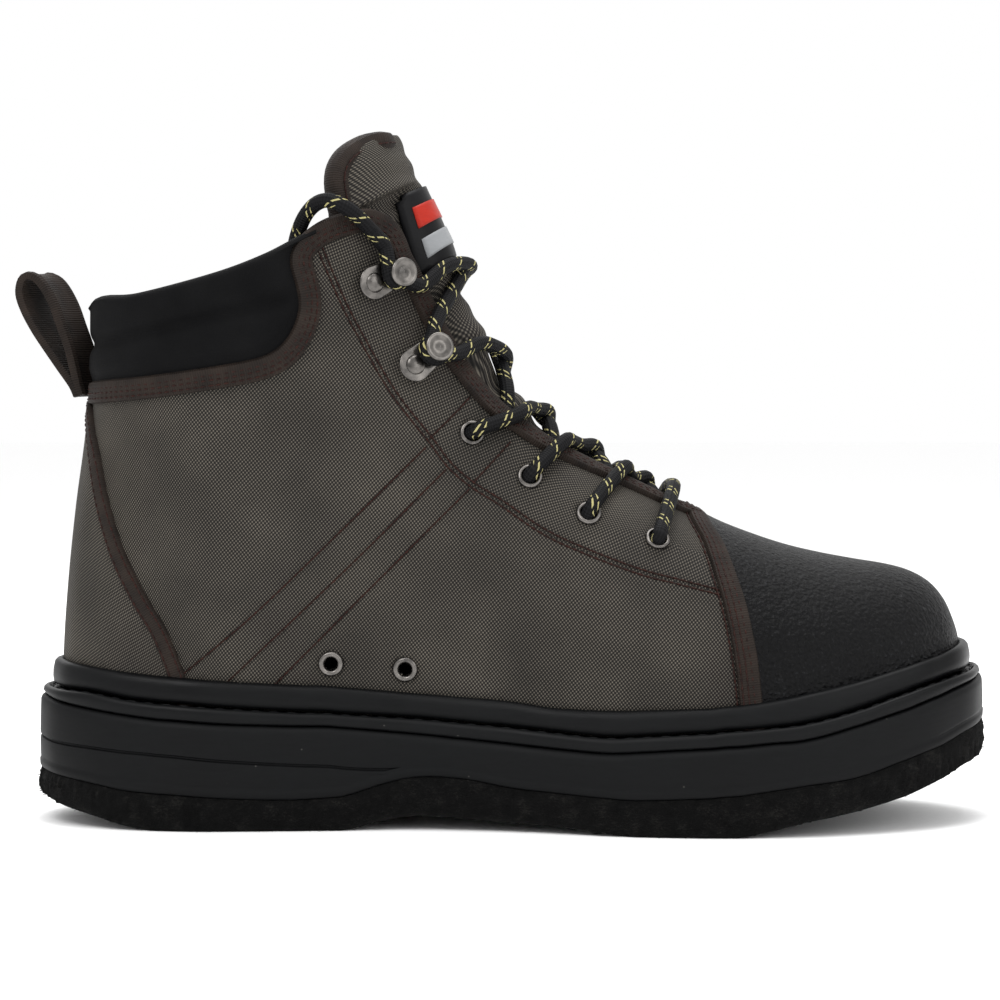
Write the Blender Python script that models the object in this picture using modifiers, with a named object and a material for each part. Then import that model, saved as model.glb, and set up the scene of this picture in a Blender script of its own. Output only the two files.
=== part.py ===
"""Wading boot: felt sole, rubber midsole and rand, hollow fabric upper, tongue, lace and fittings.

Metres, +Z up, +X to the toe. The origin is on the floor under the middle of the heel. The outer
side of the foot is -Y. Every size is a named value, and the tables hold shares of named sizes.
"""
import math

import bmesh
import bpy
from mathutils import Matrix, Vector
from mathutils.bvhtree import BVHTree

# Sole
SOLE_LENGTH = 0.324
BALL_WIDTH = 0.114
HEEL_REACH = 0.067
TOE_SPRING = 0.023
FELT_THICKNESS = 0.012
MIDSOLE_HEIGHT = 0.025
WELT_THICKNESS = 0.005
RAND_HEIGHT = 0.009
GROOVE_DEPTH = 0.0012
FELT_EDGE = 0.0012
MIDSOLE_LIP = 0.0015
MIDSOLE_TOP_EDGE = (0.0022, 0.0016)
WELT_EDGE = 0.0008
WELT_INSET = 0.0016
RAND_INSET = 0.0048
INSOLE_THICKNESS = 0.004
INSOLE_MARGIN = 0.0018

# Upper
UPPER_INSET = 0.0092
UPPER_RISE = 0.165
UPPER_WALL = 0.0025
OVERLAY = 0.0012
BINDING = 0.0017
BINDING_WIDTH = 0.0065
PATCH_THICKNESS = 0.0014
CUFF_INSIDE = 0.0032
CUFF_OUTSIDE = 0.0024
TONGUE_THICKNESS = 0.0065
THROAT_HALF_GAP = 0.019
CLEARANCE = 0.0003

# Lace and fittings
LACE_DIAMETER = 0.005
LACE_LIFT = 0.0012
LACE_REST = 0.35
HOOKED_SHARES = (0.3, 0.5, 0.7)
TUCKED_SHARES = (0.3, 0.5, 0.65, 0.78)
EYELET_OUTER = 0.0085
EYELET_HOLE = 0.0052
EYELET_PROUD = 0.0011
DRAIN_OUTER = 0.0085
DRAIN_HOLE = 0.0044
HOOK_WIDTH = 0.0112
HOOK_PLATE = 0.0012
HOOK_HEAD = 0.0088
HOOK_HEAD_THICKNESS = 0.0014
HOOK_STEM = 0.0032
HOOK_GAP = 0.0062
RING_WIRE = 0.0018
RING_WIDTH = 0.008
TAB_WIDTH = 0.0052
LOOP_WIDTH = 0.016
LOOP_THICKNESS = 0.0018

# Worked out from the sizes above
SEAT_HEIGHT = FELT_THICKNESS + MIDSOLE_HEIGHT + WELT_THICKNESS * 0.6
UPPER_LENGTH = SOLE_LENGTH - 2 * UPPER_INSET
HALF_BALL = BALL_WIDTH / 2
HOOK_BASE = BINDING + 2 * CLEARANCE
HALF_LACE = LACE_DIAMETER / 2
LATERAL, MEDIAL = -1, 1

# Plan of the sole. Columns: share of SOLE_LENGTH from the heel, outer and inner side as shares
# of half of BALL_WIDTH. At the toe both columns name the same tip, which lies towards the big toe.
SOLE_PLAN = [
    (0.000, 0.000, 0.000),
    (0.008, 0.228, 0.228),
    (0.030, 0.430, 0.430),
    (0.080, 0.614, 0.614),
    (0.150, 0.720, 0.720),
    (0.200, 0.737, 0.730),
    (0.300, 0.700, 0.684),
    (0.400, 0.675, 0.632),
    (0.500, 0.754, 0.700),
    (0.600, 0.930, 0.860),
    (0.680, 1.000, 0.955),
    (0.750, 1.000, 0.980),
    (0.820, 0.940, 0.955),
    (0.900, 0.754, 0.840),
    (0.950, 0.560, 0.667),
    (0.985, 0.300, 0.410),
    (1.000, -0.140, 0.140),
]

# Side line of the sole. Columns: share of SOLE_LENGTH, underside as a share of TOE_SPRING, then
# the share that felt, midsole, welt and rand each have there of their named heights, and how far
# up the midsole its side groove runs.
SOLE_LINE = [
    (0.000, 0.417, 0.683, 1.012, 0.54, 1.13, 0.43),
    (0.034, 0.283, 0.810, 0.988, 0.90, 1.01, 0.46),
    (0.065, 0.187, 0.883, 0.984, 1.10, 0.93, 0.49),
    (0.101, 0.061, 0.967, 1.000, 1.04, 0.98, 0.52),
    (0.134, 0.000, 1.017, 0.984, 1.06, 0.99, 0.53),
    (0.203, 0.000, 0.908, 0.980, 1.04, 0.98, 0.51),
    (0.274, 0.000, 0.858, 0.972, 0.92, 0.99, 0.48),
    (0.324, 0.000, 0.933, 0.912, 0.88, 0.98, 0.43),
    (0.368, 0.143, 1.017, 0.692, 0.94, 0.94, 0.28),
    (0.403, 0.213, 1.075, 0.560, 1.00, 0.91, 0.20),
    (0.447, 0.178, 1.100, 0.528, 1.02, 0.93, 0.20),
    (0.500, 0.135, 0.950, 0.580, 1.06, 0.94, 0.20),
    (0.540, 0.109, 0.917, 0.576, 1.04, 0.88, 0.20),
    (0.593, 0.043, 0.950, 0.584, 1.00, 0.97, 0.20),
    (0.625, 0.000, 0.992, 0.624, 1.00, 0.94, 0.20),
    (0.699, 0.000, 1.075, 0.644, 0.98, 0.89, 0.20),
    (0.725, 0.000, 1.133, 0.640, 1.02, 0.90, 0.20),
    (0.762, 0.100, 1.083, 0.616, 1.00, 0.97, 0.20),
    (0.796, 0.213, 1.000, 0.592, 1.06, 1.06, 0.20),
    (0.849, 0.343, 0.925, 0.672, 1.00, 1.02, 0.20),
    (0.902, 0.522, 1.000, 0.656, 1.08, 0.93, 0.20),
    (0.942, 0.726, 0.933, 0.664, 0.94, 0.92, 0.20),
    (0.968, 0.891, 0.917, 0.628, 0.76, 1.00, 0.20),
    (1.000, 1.000, 0.942, 0.608, 0.50, 1.00, 0.20),
]

# Ribs of the last. Columns: foot of the rib (share of UPPER_LENGTH from the heel, share of
# UPPER_RISE over the seat), its top on the ridge line (the same shares), where along the rib the
# top starts to round, how square that rounding is, and 1 where the rib starts on the back line.
RIBS = [
    (1.0000, -0.073, 1.0000, 0.103, 0.40, 2.2, 0.0),
    (0.9974, -0.073, 0.9974, 0.134, 0.40, 2.2, 0.0),
    (0.9904, -0.073, 0.9904, 0.170, 0.38, 2.2, 0.0),
    (0.9806, -0.073, 0.9806, 0.207, 0.36, 2.2, 0.0),
    (0.9657, -0.073, 0.9657, 0.238, 0.34, 2.2, 0.0),
    (0.9440, -0.073, 0.9440, 0.260, 0.32, 2.2, 0.0),
    (0.9176, -0.073, 0.9176, 0.273, 0.30, 2.2, 0.0),
    (0.8847, -0.073, 0.8847, 0.283, 0.30, 2.2, 0.0),
    (0.8400, -0.073, 0.8440, 0.297, 0.30, 2.2, 0.0),
    (0.7900, -0.073, 0.8056, 0.314, 0.30, 2.2, 0.0),
    (0.7400, -0.073, 0.7677, 0.337, 0.30, 2.2, 0.0),
    (0.6870, -0.073, 0.7282, 0.366, 0.32, 2.2, 0.0),
    (0.6277, -0.073, 0.6886, 0.405, 0.34, 2.2, 0.0),
    (0.5651, -0.073, 0.6491, 0.444, 0.36, 2.2, 0.0),
    (0.4992, -0.073, 0.6046, 0.487, 0.38, 2.2, 0.0),
    (0.4333, -0.073, 0.5591, 0.536, 0.40, 2.2, 0.0),
    (0.3674, -0.073, 0.5206, 0.590, 0.42, 2.2, 0.0),
    (0.3015, -0.073, 0.4893, 0.647, 0.44, 2.2, 0.0),
    (0.2356, -0.073, 0.4662, 0.706, 0.46, 2.2, 0.0),
    (0.1730, -0.073, 0.4498, 0.760, 0.48, 2.2, 0.0),
    (0.1170, -0.073, 0.4382, 0.809, 0.50, 2.2, 0.1),
    (0.0708, -0.073, 0.4293, 0.851, 0.50, 2.2, 0.3),
    (0.0346, -0.073, 0.4227, 0.887, 0.50, 2.2, 0.6),
    (0.0115, -0.073, 0.4178, 0.915, 0.50, 2.2, 0.9),
    (0.0000, -0.073, 0.4142, 0.938, 0.50, 2.2, 1.0),
    (0.0007, 0.1030, 0.4102, 0.961, 0.50, 2.2, 1.0),
    (0.0066, 0.2545, 0.4063, 0.985, 0.50, 2.2, 1.0),
    (0.0155, 0.4060, 0.4020, 1.009, 0.50, 2.2, 1.0),
    (0.0264, 0.5515, 0.3970, 1.036, 0.50, 2.2, 1.0),
    (0.0339, 0.6788, 0.3904, 1.069, 0.50, 2.2, 1.0),
    (0.0362, 0.8242, 0.3822, 1.109, 0.50, 2.2, 1.0),
    (0.0362, 0.9697, 0.3740, 1.151, 0.50, 2.2, 1.0),
    (0.0362, 1.2100, 0.3600, 1.210, 0.50, 2.2, 1.0),
]

# How the upper widens over its foot. Columns: height over the deck as a share of UPPER_RISE, and
# the width there as a share of the foot's width.
GIRTH = [
    (0.00, 1.00),
    (0.07, 1.00),
    (0.18, 1.04),
    (0.36, 1.09),
    (0.54, 1.17),
    (0.70, 1.28),
    (0.85, 1.36),
    (1.00, 1.38),
    (1.30, 1.38),
]

# Top line of the collar and eyestay, from the back. Columns: share of UPPER_LENGTH, share of
# UPPER_RISE over the seat.
TOP_LINE = [
    (-0.050, 0.800),
    (0.030, 0.815),
    (0.052, 0.834),
    (0.094, 0.838),
    (0.176, 0.875),
    (0.230, 0.912),
    (0.268, 0.949),
    (0.303, 0.983),
    (0.338, 1.001),
    (0.356, 0.993),
    (0.370, 0.975),
    (0.380, 0.940),
    (0.388, 0.905),
    (0.430, 0.860),
]

# Line where the fabric ends and the padded cuff starts, from the back.
CUFF_LINE = [
    (-0.050, 0.630),
    (0.034, 0.653),
    (0.108, 0.667),
    (0.193, 0.690),
    (0.234, 0.708),
    (0.256, 0.738),
    (0.268, 0.780),
    (0.272, 0.822),
    (0.267, 0.862),
    (0.262, 0.895),
    (0.264, 0.922),
    (0.273, 0.946),
    (0.286, 0.966),
]

# Seams as side-view lines, from top to bottom: the same columns.
TOE_SEAM = [
    (0.708, 0.420),
    (0.714, 0.366),
    (0.726, 0.330),
    (0.738, 0.270),
    (0.747, 0.218),
    (0.754, 0.160),
    (0.760, 0.100),
    (0.765, 0.016),
    (0.770, -0.060),
]
COUNTER_SEAM = [
    (0.028, 0.700),
    (0.030, 0.611),
    (0.041, 0.510),
    (0.052, 0.408),
    (0.070, 0.305),
    (0.094, 0.216),
    (0.114, 0.155),
    (0.135, 0.058),
    (0.155, -0.060),
]

# Places on the side of the upper. Columns: the same shares; the first lace eyelet is at the toe.
EYELETS = [(0.656, 0.344), (0.582, 0.395), (0.518, 0.468), (0.455, 0.556)]
DRAINS = [(0.301, 0.090), (0.382, 0.078)]

# Speed hooks. Columns: rivet and head as side-view shares.
HOOKS = [(0.389, 0.689, 0.413, 0.727), (0.344, 0.857, 0.370, 0.883)]

# The gaiter ring's tab starts and ends at these ribs, and the ring reaches the last one.
GAITER_RIBS = (13.96, 13.82, 13.34)

# Where the lace passes over the throat's edge, as ribs, from the first eyelet to the last hook.
# Columns: to the crossing below, to the crossing above.
LACE_RIBS = [(12.45, 12.45), (13.7, 13.7), (15.1, 15.1), (16.4, 16.4), (19.0, 20.7),
             (22.9, 25.5)]

# Tongue. Columns: rib, half-width as a share of HALF_BALL, how far its middle stands out of the
# throat as a share of TONGUE_THICKNESS.
TONGUE = [
    (11.2, 0.17, 0.00),
    (12.0, 0.26, 0.00),
    (13.0, 0.34, 0.05),
    (14.4, 0.42, 0.25),
    (15.0, 0.44, 0.45),
    (15.75, 0.47, 0.40),
    (16.5, 0.50, 0.95),
    (17.3, 0.52, 0.65),
    (18.7, 0.55, 1.35),
    (20.3, 0.58, 0.90),
    (22.8, 0.59, 1.25),
    (25.5, 0.60, 1.10),
    (28.6, 0.61, 0.85),
    (29.8, 0.63, 0.76),
    (30.7, 0.62, 0.70),
    (31.1, 0.54, 0.65),
    (31.3, 0.40, 0.60),
]

# Ribs between which the patch lies, and its thickness over the tongue.
PATCH_RIBS = (22.8, 25.5, 28.6)

# The rib past which the tongue stands free of the collar.
TONGUE_FREE = 29.0

# Pull loop's middle line behind the collar. Columns: share of UPPER_LENGTH, share of UPPER_RISE.
LOOP_LINE = [
    (0.0215, 0.7255),
    (0.0160, 0.7820),
    (0.0046, 0.8350),
    (-0.0110, 0.8670),
    (-0.0268, 0.8810),
    (-0.0425, 0.8790),
    (-0.0490, 0.8570),
    (-0.0480, 0.8240),
    (-0.0400, 0.7850),
    (-0.0259, 0.7424),
    (-0.0101, 0.7006),
    (0.0040, 0.6655),
    (0.0165, 0.6345),
]


def blend(a, b, share):
    return a + (b - a) * share


def smooth(share):
    share = max(0.0, min(1.0, share))
    return share * share * (3 - 2 * share)


def table_at(table, key, column):
    """Straight reading of a table's column at a key in its first column."""
    if key <= table[0][0]:
        return table[0][column]
    for low, high in zip(table, table[1:]):
        if key <= high[0]:
            return blend(low[column], high[column], (key - low[0]) / (high[0] - low[0]))
    return table[-1][column]


def spline(before, a, b, after, share):
    """Catmull-Rom value between a and b."""
    square, cube = share * share, share ** 3
    return 0.5 * (2 * a + (b - before) * share
                  + (2 * before - 5 * a + 4 * b - after) * square
                  + (3 * a - before - 3 * b + after) * cube)


def row_at(table, place):
    """Smooth reading of every column at a fractional row."""
    index = min(int(place), len(table) - 2)
    share = place - index
    rows = [table[max(0, min(len(table) - 1, index + step))] for step in (-1, 0, 1, 2)]
    return [spline(*column, share) for column in zip(*rows)]


def smooth_line(points, steps):
    """Points of a smooth open line through the given ones."""
    line = [Vector(row_at(points, index + step / steps))
            for index in range(len(points) - 1) for step in range(steps)]
    return line + [Vector(points[-1])]


def sole_x(share):
    return share * SOLE_LENGTH - HEEL_REACH


def side_place(share_x, share_z):
    """Side-view place from shares of the upper's length and rise."""
    return (share_x * UPPER_LENGTH - HEEL_REACH + UPPER_INSET, SEAT_HEIGHT + share_z * UPPER_RISE)


def plan_loop(inset, steps):
    """The sole's outline moved inwards by the inset: outer side to the toe, inner side back."""
    outer = [Vector((sole_x(row[0]), -row[1] * HALF_BALL)) for row in SOLE_PLAN]
    inner = [Vector((sole_x(row[0]), row[2] * HALF_BALL)) for row in SOLE_PLAN]
    rows = outer + inner[-2:0:-1]
    count = len(rows)
    loop = [spline(*[rows[(index + step) % count] for step in (-1, 0, 1, 2)], part / steps)
            for index in range(count) for part in range(steps)]
    moved = []
    for index, point in enumerate(loop):
        along = (loop[(index + 1) % len(loop)] - loop[index - 1]).normalized()
        moved.append(point + Vector((-along.y, along.x)) * inset)
    return moved


def plan_side(side, inset, steps):
    """One side of that outline, from the heel to the toe."""
    loop = plan_loop(inset, steps)
    half = len(loop) // 2
    if side == LATERAL:
        return loop[:half + 1]
    return [loop[0]] + loop[:half - 1:-1]


class Outline:
    """The plan of one ring of the boot, read by x on either side."""

    def __init__(self, inset):
        self.lines = {side: plan_side(side, inset, 8) for side in (LATERAL, MEDIAL)}
        self.lines = {side: sorted(line, key=lambda p: p.x) for side, line in self.lines.items()}

    def y(self, side, x):
        return table_at([tuple(point) for point in self.lines[side]], x, 1)


UPPER_PLAN = Outline(UPPER_INSET)
HEEL_BACK = UPPER_PLAN.lines[LATERAL][0].x
TOE_TIP = UPPER_PLAN.lines[LATERAL][-1]


def line_z(x, layers, groove=False):
    """Height of the sole's side line at x: 0 underside, 1 felt, 2 midsole, 3 deck, 4 rand top."""
    share = (x + HEEL_REACH) / SOLE_LENGTH
    heights = (TOE_SPRING, FELT_THICKNESS, MIDSOLE_HEIGHT, WELT_THICKNESS, RAND_HEIGHT)
    height = sum(table_at(SOLE_LINE, share, 1 + layer) * heights[layer]
                 for layer in range(layers + 1))
    if groove:
        height += table_at(SOLE_LINE, share, 6) * (line_z(x, 2) - line_z(x, 1))
    return height


def centre_y(x):
    """Middle line of the upper, which leans to the big toe at the front."""
    start = 0.45 * (TOE_TIP.x - HEEL_BACK) + HEEL_BACK
    return TOE_TIP.y * smooth((x - start) / (TOE_TIP.x - start))


def back_x(z):
    """The back line of the upper at a height."""
    back = [row for row in RIBS if row[6] == 1.0]
    shares = [(row[1], row[0]) for row in back]
    share = table_at(shares, (z - SEAT_HEIGHT) / UPPER_RISE, 1)
    return side_place(share, 0)[0]


def rib_place(rib, across):
    """Side-view place and rounding at a rib. across runs -1 outer foot, 0 ridge, 1 inner foot."""
    foot_x, foot_z, top_x, top_z, start, power, back = row_at(RIBS, rib)
    lower, rise = 0.4, 1 - abs(across)
    if rise < lower:
        even = start * rise / lower
        dense = start * (1 - math.cos(rise / lower * math.pi / 2))
        along, rounding = blend(even, dense, back), 1.0
    else:
        angle = (rise - lower) / (1 - lower) * math.pi / 2
        along = start + (1 - start) * math.sin(angle) ** (2 / power)
        rounding = max(0.0, math.cos(angle)) ** (2 / power)
    foot, top = side_place(foot_x, foot_z), side_place(top_x, top_z)
    return blend(foot[0], top[0], along), blend(foot[1], top[1], along), rounding


def last_point(rib, across):
    """A point on the outer surface of the upper's form."""
    x, z, rounding = rib_place(rib, across)
    side = LATERAL if across < 0 else MEDIAL
    lean = (back_x(z) - HEEL_BACK) * max(0.0, 1 - (x - back_x(z)) / (0.35 * UPPER_LENGTH))
    level = max(HEEL_BACK, min(TOE_TIP.x, x - lean))
    deck = line_z(x, 3)
    width = table_at(GIRTH, (z - deck) / UPPER_RISE, 1)
    middle = centre_y(x)
    return Vector((x, middle + (UPPER_PLAN.y(side, level) - middle) * width * rounding, z))


def clear_scene():
    for item in list(bpy.data.objects):
        bpy.data.objects.remove(item, do_unlink=True)


def new_collection(name):
    group = bpy.data.collections.new(name)
    bpy.context.scene.collection.children.link(group)
    return group


clear_scene()
PARTS = new_collection("wading_boot")
CUTTERS = new_collection("cutters")


def material(name, colour, roughness, metallic=0.0):
    made = bpy.data.materials.new(name)
    made.use_nodes = True
    shader = made.node_tree.nodes["Principled BSDF"]
    shader.inputs["Base Color"].default_value = (*colour, 1.0)
    shader.inputs["Roughness"].default_value = roughness
    shader.inputs["Metallic"].default_value = metallic
    return made


FELT = material("felt", (0.012, 0.012, 0.013), 1.0)
RUBBER = material("rubber", (0.022, 0.022, 0.024), 0.6)
FABRIC = material("woven_fabric", (0.075, 0.062, 0.042), 0.85)
CAP_FABRIC = material("coated_fabric", (0.016, 0.016, 0.017), 0.6)
TAPE = material("binding_tape", (0.03, 0.02, 0.014), 0.8)
NEOPRENE = material("neoprene", (0.012, 0.012, 0.013), 0.8)
FOAM = material("insole_foam", (0.06, 0.06, 0.06), 0.9)
METAL = material("gunmetal", (0.25, 0.24, 0.23), 0.4, 1.0)
CORD = material("lace_cord", (0.015, 0.015, 0.015), 0.85)


def make_object(name, mesh_data, finish, group=None):
    mesh = bpy.data.meshes.new(name)
    bmesh.ops.recalc_face_normals(mesh_data, faces=mesh_data.faces)
    if mesh_data.calc_volume(signed=True) < 0:
        bmesh.ops.reverse_faces(mesh_data, faces=mesh_data.faces)
    mesh_data.to_mesh(mesh)
    mesh_data.free()
    made = bpy.data.objects.new(name, mesh)
    (group or PARTS).objects.link(made)
    if finish:
        mesh.materials.append(finish)
        mesh.shade_smooth()
        mesh.set_sharp_from_angle(angle=math.radians(35))
    if group is CUTTERS:
        made.hide_render = True
        made.display_type = "WIRE"
    return made


def boolean(target, operation, cutter):
    step = target.modifiers.new(operation.lower(), "BOOLEAN")
    step.operation = operation
    step.solver = "EXACT"
    step.object = cutter


def solidify(target, thickness, outwards):
    step = target.modifiers.new("wall", "SOLIDIFY")
    step.thickness = thickness
    step.offset = 1 if outwards else -1
    step.use_even_offset = True


def drawn_sheet(data, count, levels, place):
    """Draws a strip of count cells up through its levels. Every vertex keeps how far along the
    strip it lies and on which side, and place moves it for a level."""
    bmesh.ops.create_grid(data, x_segments=count, y_segments=1, size=1)
    along = data.verts.layers.float.new("along")
    side = data.verts.layers.float.new("side")
    for vert in data.verts:
        vert[along], vert[side] = (vert.co.x + 1) / 2, math.copysign(1, vert.co.y)
        vert.co = place(vert[along], vert[side], levels[0])
    faces = list(data.faces)
    for level in levels[1:]:
        grown = bmesh.ops.extrude_face_region(data, geom=faces, use_keep_orig=True)
        if level is not levels[1]:
            bmesh.ops.delete(data, geom=faces, context="FACES")
        faces = [item for item in grown["geom"] if isinstance(item, bmesh.types.BMFace)]
        for vert in {vert for face in faces for vert in face.verts}:
            vert.co = place(vert[along], vert[side], level)
    bmesh.ops.remove_doubles(data, verts=data.verts, dist=0.00002)


def stacked_sheet(name, levels, finish, steps=2):
    """A sole layer: a sheet across the boot, drawn up through its levels. Each level is an
    inset from the sole's outline and a function that gives its height at x."""
    count = (len(SOLE_PLAN) - 1) * steps
    lines = {(side, level[0]): plan_side(side, level[0], steps)
             for side in (LATERAL, MEDIAL) for level in levels}

    def place(along, side, level):
        point = lines[(LATERAL if side < 0 else MEDIAL, level[0])][round(along * count)]
        return point.x, point.y, level[1](point.x)

    data = bmesh.new()
    drawn_sheet(data, count, levels, place)
    return make_object(name, data, finish)


def side_prism(name, outline, start=-BALL_WIDTH, end=BALL_WIDTH):
    """A cutter across the boot, from a side-view outline."""
    data = bmesh.new()
    bmesh.ops.create_circle(data, cap_ends=True, segments=len(outline), radius=1)
    data.verts.ensure_lookup_table()
    for vert, point in zip(data.verts, outline):
        vert.co = (point[0], start, point[1])
    grown = bmesh.ops.extrude_face_region(data, geom=list(data.faces), use_keep_orig=True)
    moved = [item for item in grown["geom"] if isinstance(item, bmesh.types.BMVert)]
    bmesh.ops.translate(data, verts=moved, vec=(0, end - start, 0))
    return make_object(name, data, None, CUTTERS)


FORM_STEPS = 16
SLOT_DEPTH = 0.035


def last_surface():
    """The open surface of the upper's form, from the outer foot over the ridge to the inner."""
    data = bmesh.new()
    ribs = len(RIBS) - 1
    bmesh.ops.create_grid(data, x_segments=ribs, y_segments=FORM_STEPS, size=1)
    for vert in data.verts:
        vert.co = last_point((vert.co.x + 1) / 2 * ribs, vert.co.y)
    bmesh.ops.remove_doubles(data, verts=data.verts, dist=0.00002)
    bmesh.ops.recalc_face_normals(data, faces=data.faces)
    outward = sum((face.normal.y * (face.calc_center_median().y) for face in data.faces))
    if outward < 0:
        bmesh.ops.reverse_faces(data, faces=data.faces)
    bmesh.ops.triangulate(data, faces=data.faces)
    data.normal_update()
    return data


LAST = last_surface()
LAST_TREE = BVHTree.FromBMesh(LAST)


def shell(name, inner, outer, finish):
    """A closed shell between two offsets from the upper's form."""
    data = LAST.copy()
    for vert in data.verts:
        vert.co += vert.normal * inner
    mesh = bpy.data.meshes.new(name)
    data.to_mesh(mesh)
    data.free()
    made = bpy.data.objects.new(name, mesh)
    PARTS.objects.link(made)
    mesh.materials.append(finish)
    mesh.shade_smooth()
    mesh.set_sharp_from_angle(angle=math.radians(35))
    solidify(made, outer - inner, True)
    return made


def skin_at(share_x, share_z, side):
    """Point and outward normal of the form at a side-view place."""
    x, z = side_place(share_x, share_z)
    start = Vector((x, side * BALL_WIDTH, z))
    point, normal, _, _ = LAST_TREE.ray_cast(start, Vector((0, -side, 0)))
    return point, normal


def side_line(table, steps=1):
    """A table of side-view shares as a smooth line."""
    return smooth_line([side_place(*row) for row in table], steps)


def sole_top_line(layer, gap):
    """The deck or the rand's top in side view, toe to heel, lifted by a gap."""
    ends = [row[0] for row in SOLE_LINE]
    reach = 0.06
    xs = [sole_x(1 + reach)] + [sole_x(share) for share in reversed(ends)] + [sole_x(-reach)]
    return [Vector((x, line_z(x, layer) + gap)) for x in xs]


def ridge_frame(rib):
    """Point on the ridge and the outward normal there, in side view."""
    place = Vector(side_place(*row_at(RIBS, rib)[2:4]))
    ahead = Vector(side_place(*row_at(RIBS, min(rib + 0.2, len(RIBS) - 1))[2:4]))
    behind = Vector(side_place(*row_at(RIBS, max(rib - 0.2, 0))[2:4]))
    along = (ahead - behind).normalized()
    return place, Vector((along.y, -along.x))


# Throat opening. Columns: rib, half of the gap as a share of THROAT_HALF_GAP.
THROAT = [
    (11.86, 0.40),
    (12.00, 0.58),
    (12.30, 0.68),
    (12.80, 0.75),
    (13.60, 0.78),
    (15.00, 0.84),
    (17.00, 0.92),
    (20.00, 1.00),
    (25.00, 1.05),
    (28.00, 1.05),
    (32.00, 1.05),
]


def throat_half(rib):
    return table_at(THROAT, rib, 1) * THROAT_HALF_GAP


def throat_slot(name, extra, reach=0.0):
    """A cutter along the ridge whose half-width is the throat's half-gap and a margin, and which
    reaches past the front of the throat."""
    def place(along, side, depth):
        rib, share = THROAT[round(along * (len(THROAT) - 1))]
        point, normal = ridge_frame(rib)
        if along == 0:
            point = point + Vector((normal.y, -normal.x)) * (extra + reach)
        point = point + normal * depth
        return point.x, centre_y(point.x) + side * (share * THROAT_HALF_GAP + extra), point.y

    data = bmesh.new()
    drawn_sheet(data, len(THROAT) - 1, [-SLOT_DEPTH, SLOT_DEPTH], place)
    return make_object(name, data, None, CUTTERS)


# Sole
def height(layer, gap=0.0):
    return lambda x: line_z(x, layer) + gap


def midsole_height(lift):
    return lambda x: line_z(x, 1, groove=True) + lift


def build_sole():
    stacked_sheet("felt_outsole", [(FELT_EDGE, height(0)), (0, height(0, FELT_EDGE)),
                                   (0, height(1))], FELT)
    inset, drop = MIDSOLE_TOP_EDGE
    stacked_sheet("midsole", [
        (0.66 * MIDSOLE_LIP, height(1, CLEARANCE)),
        (0.0, height(1, MIDSOLE_LIP)),
        (0.17 * GROOVE_DEPTH, midsole_height(-0.66 * GROOVE_DEPTH)),
        (GROOVE_DEPTH, midsole_height(0.0)),
        (0.33 * GROOVE_DEPTH, midsole_height(0.75 * GROOVE_DEPTH)),
        (0.36 * inset, height(2, -drop)),
        (inset, height(2)),
    ], RUBBER)
    stacked_sheet("welt", [
        (WELT_INSET, height(2, CLEARANCE)),
        (WELT_INSET, height(3, -WELT_EDGE)),
        (WELT_INSET + WELT_EDGE, height(3)),
    ], RUBBER)
    inner = UPPER_INSET + UPPER_WALL + INSOLE_MARGIN
    stacked_sheet("insole", [
        (inner, height(3, CLEARANCE)),
        (inner, height(3, INSOLE_THICKNESS)),
    ], FOAM)


def build_rand():
    """A rounded roll between the upper's foot and the stitched edge."""
    inner = UPPER_INSET - CLEARANCE
    wide = inner - RAND_INSET
    section = [
        (inner, height(3, CLEARANCE)),
        (RAND_INSET + 0.10 * wide, height(3, CLEARANCE)),
        (RAND_INSET, height(3, 0.20 * RAND_HEIGHT)),
        (RAND_INSET, height(4, -0.36 * RAND_HEIGHT)),
        (RAND_INSET + 0.22 * wide, height(4, -0.12 * RAND_HEIGHT)),
        (RAND_INSET + 0.60 * wide, height(4)),
        (inner, height(4, -0.03 * RAND_HEIGHT)),
    ]
    steps = 2
    rings = [[Vector((point.x, point.y, level(point.x))) for point in plan_loop(inset, steps)]
             for inset, level in section]
    data = bmesh.new()
    around = len(rings[0])
    bmesh.ops.create_grid(data, x_segments=around, y_segments=len(section), size=1)
    for vert in data.verts:
        index = round((vert.co.x + 1) / 2 * around) % around
        level = round((vert.co.y + 1) / 2 * len(section)) % len(section)
        vert.co = rings[level][index]
    bmesh.ops.remove_doubles(data, verts=data.verts, dist=0.00002)
    make_object("rand", data, RUBBER)


build_sole()
build_rand()


# Upper and its overlays
DECK = sole_top_line(3, CLEARANCE)
OVER_RAND = sole_top_line(4, 2 * CLEARANCE)
PEAK_GAP = 0.008
TOE_SIDE = sole_x(1.06)
HEEL_SIDE = sole_x(-0.06)
SKY = SEAT_HEIGHT + 1.3 * UPPER_RISE
EDGE_LINE = side_line(CUFF_LINE) + [
    point for point in side_line(TOP_LINE)
    if point.x > side_place(CUFF_LINE[-1][0] + PEAK_GAP, 0)[0]]


def shifted(line, shift):
    """A side-view line moved to its left."""
    moved = []
    for index, point in enumerate(line):
        ahead = line[min(index + 1, len(line) - 1)]
        behind = line[max(index - 1, 0)]
        along = (ahead - behind).normalized()
        moved.append(point + Vector((-along.y, along.x)) * shift)
    return moved


def below(line):
    """Outline of all that lies under a line from the back to the front, down to the deck."""
    return line + [Vector((TOE_SIDE, line[-1].y))] + DECK


def over_rand():
    return side_prism("over_rand", OVER_RAND + [Vector((HEEL_SIDE, SKY)),
                                                Vector((TOE_SIDE, SKY))])


def between(line, first, second):
    """Outline of the strip between two shifts of a line."""
    return shifted(line, first) + shifted(line, second)[::-1]


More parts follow.
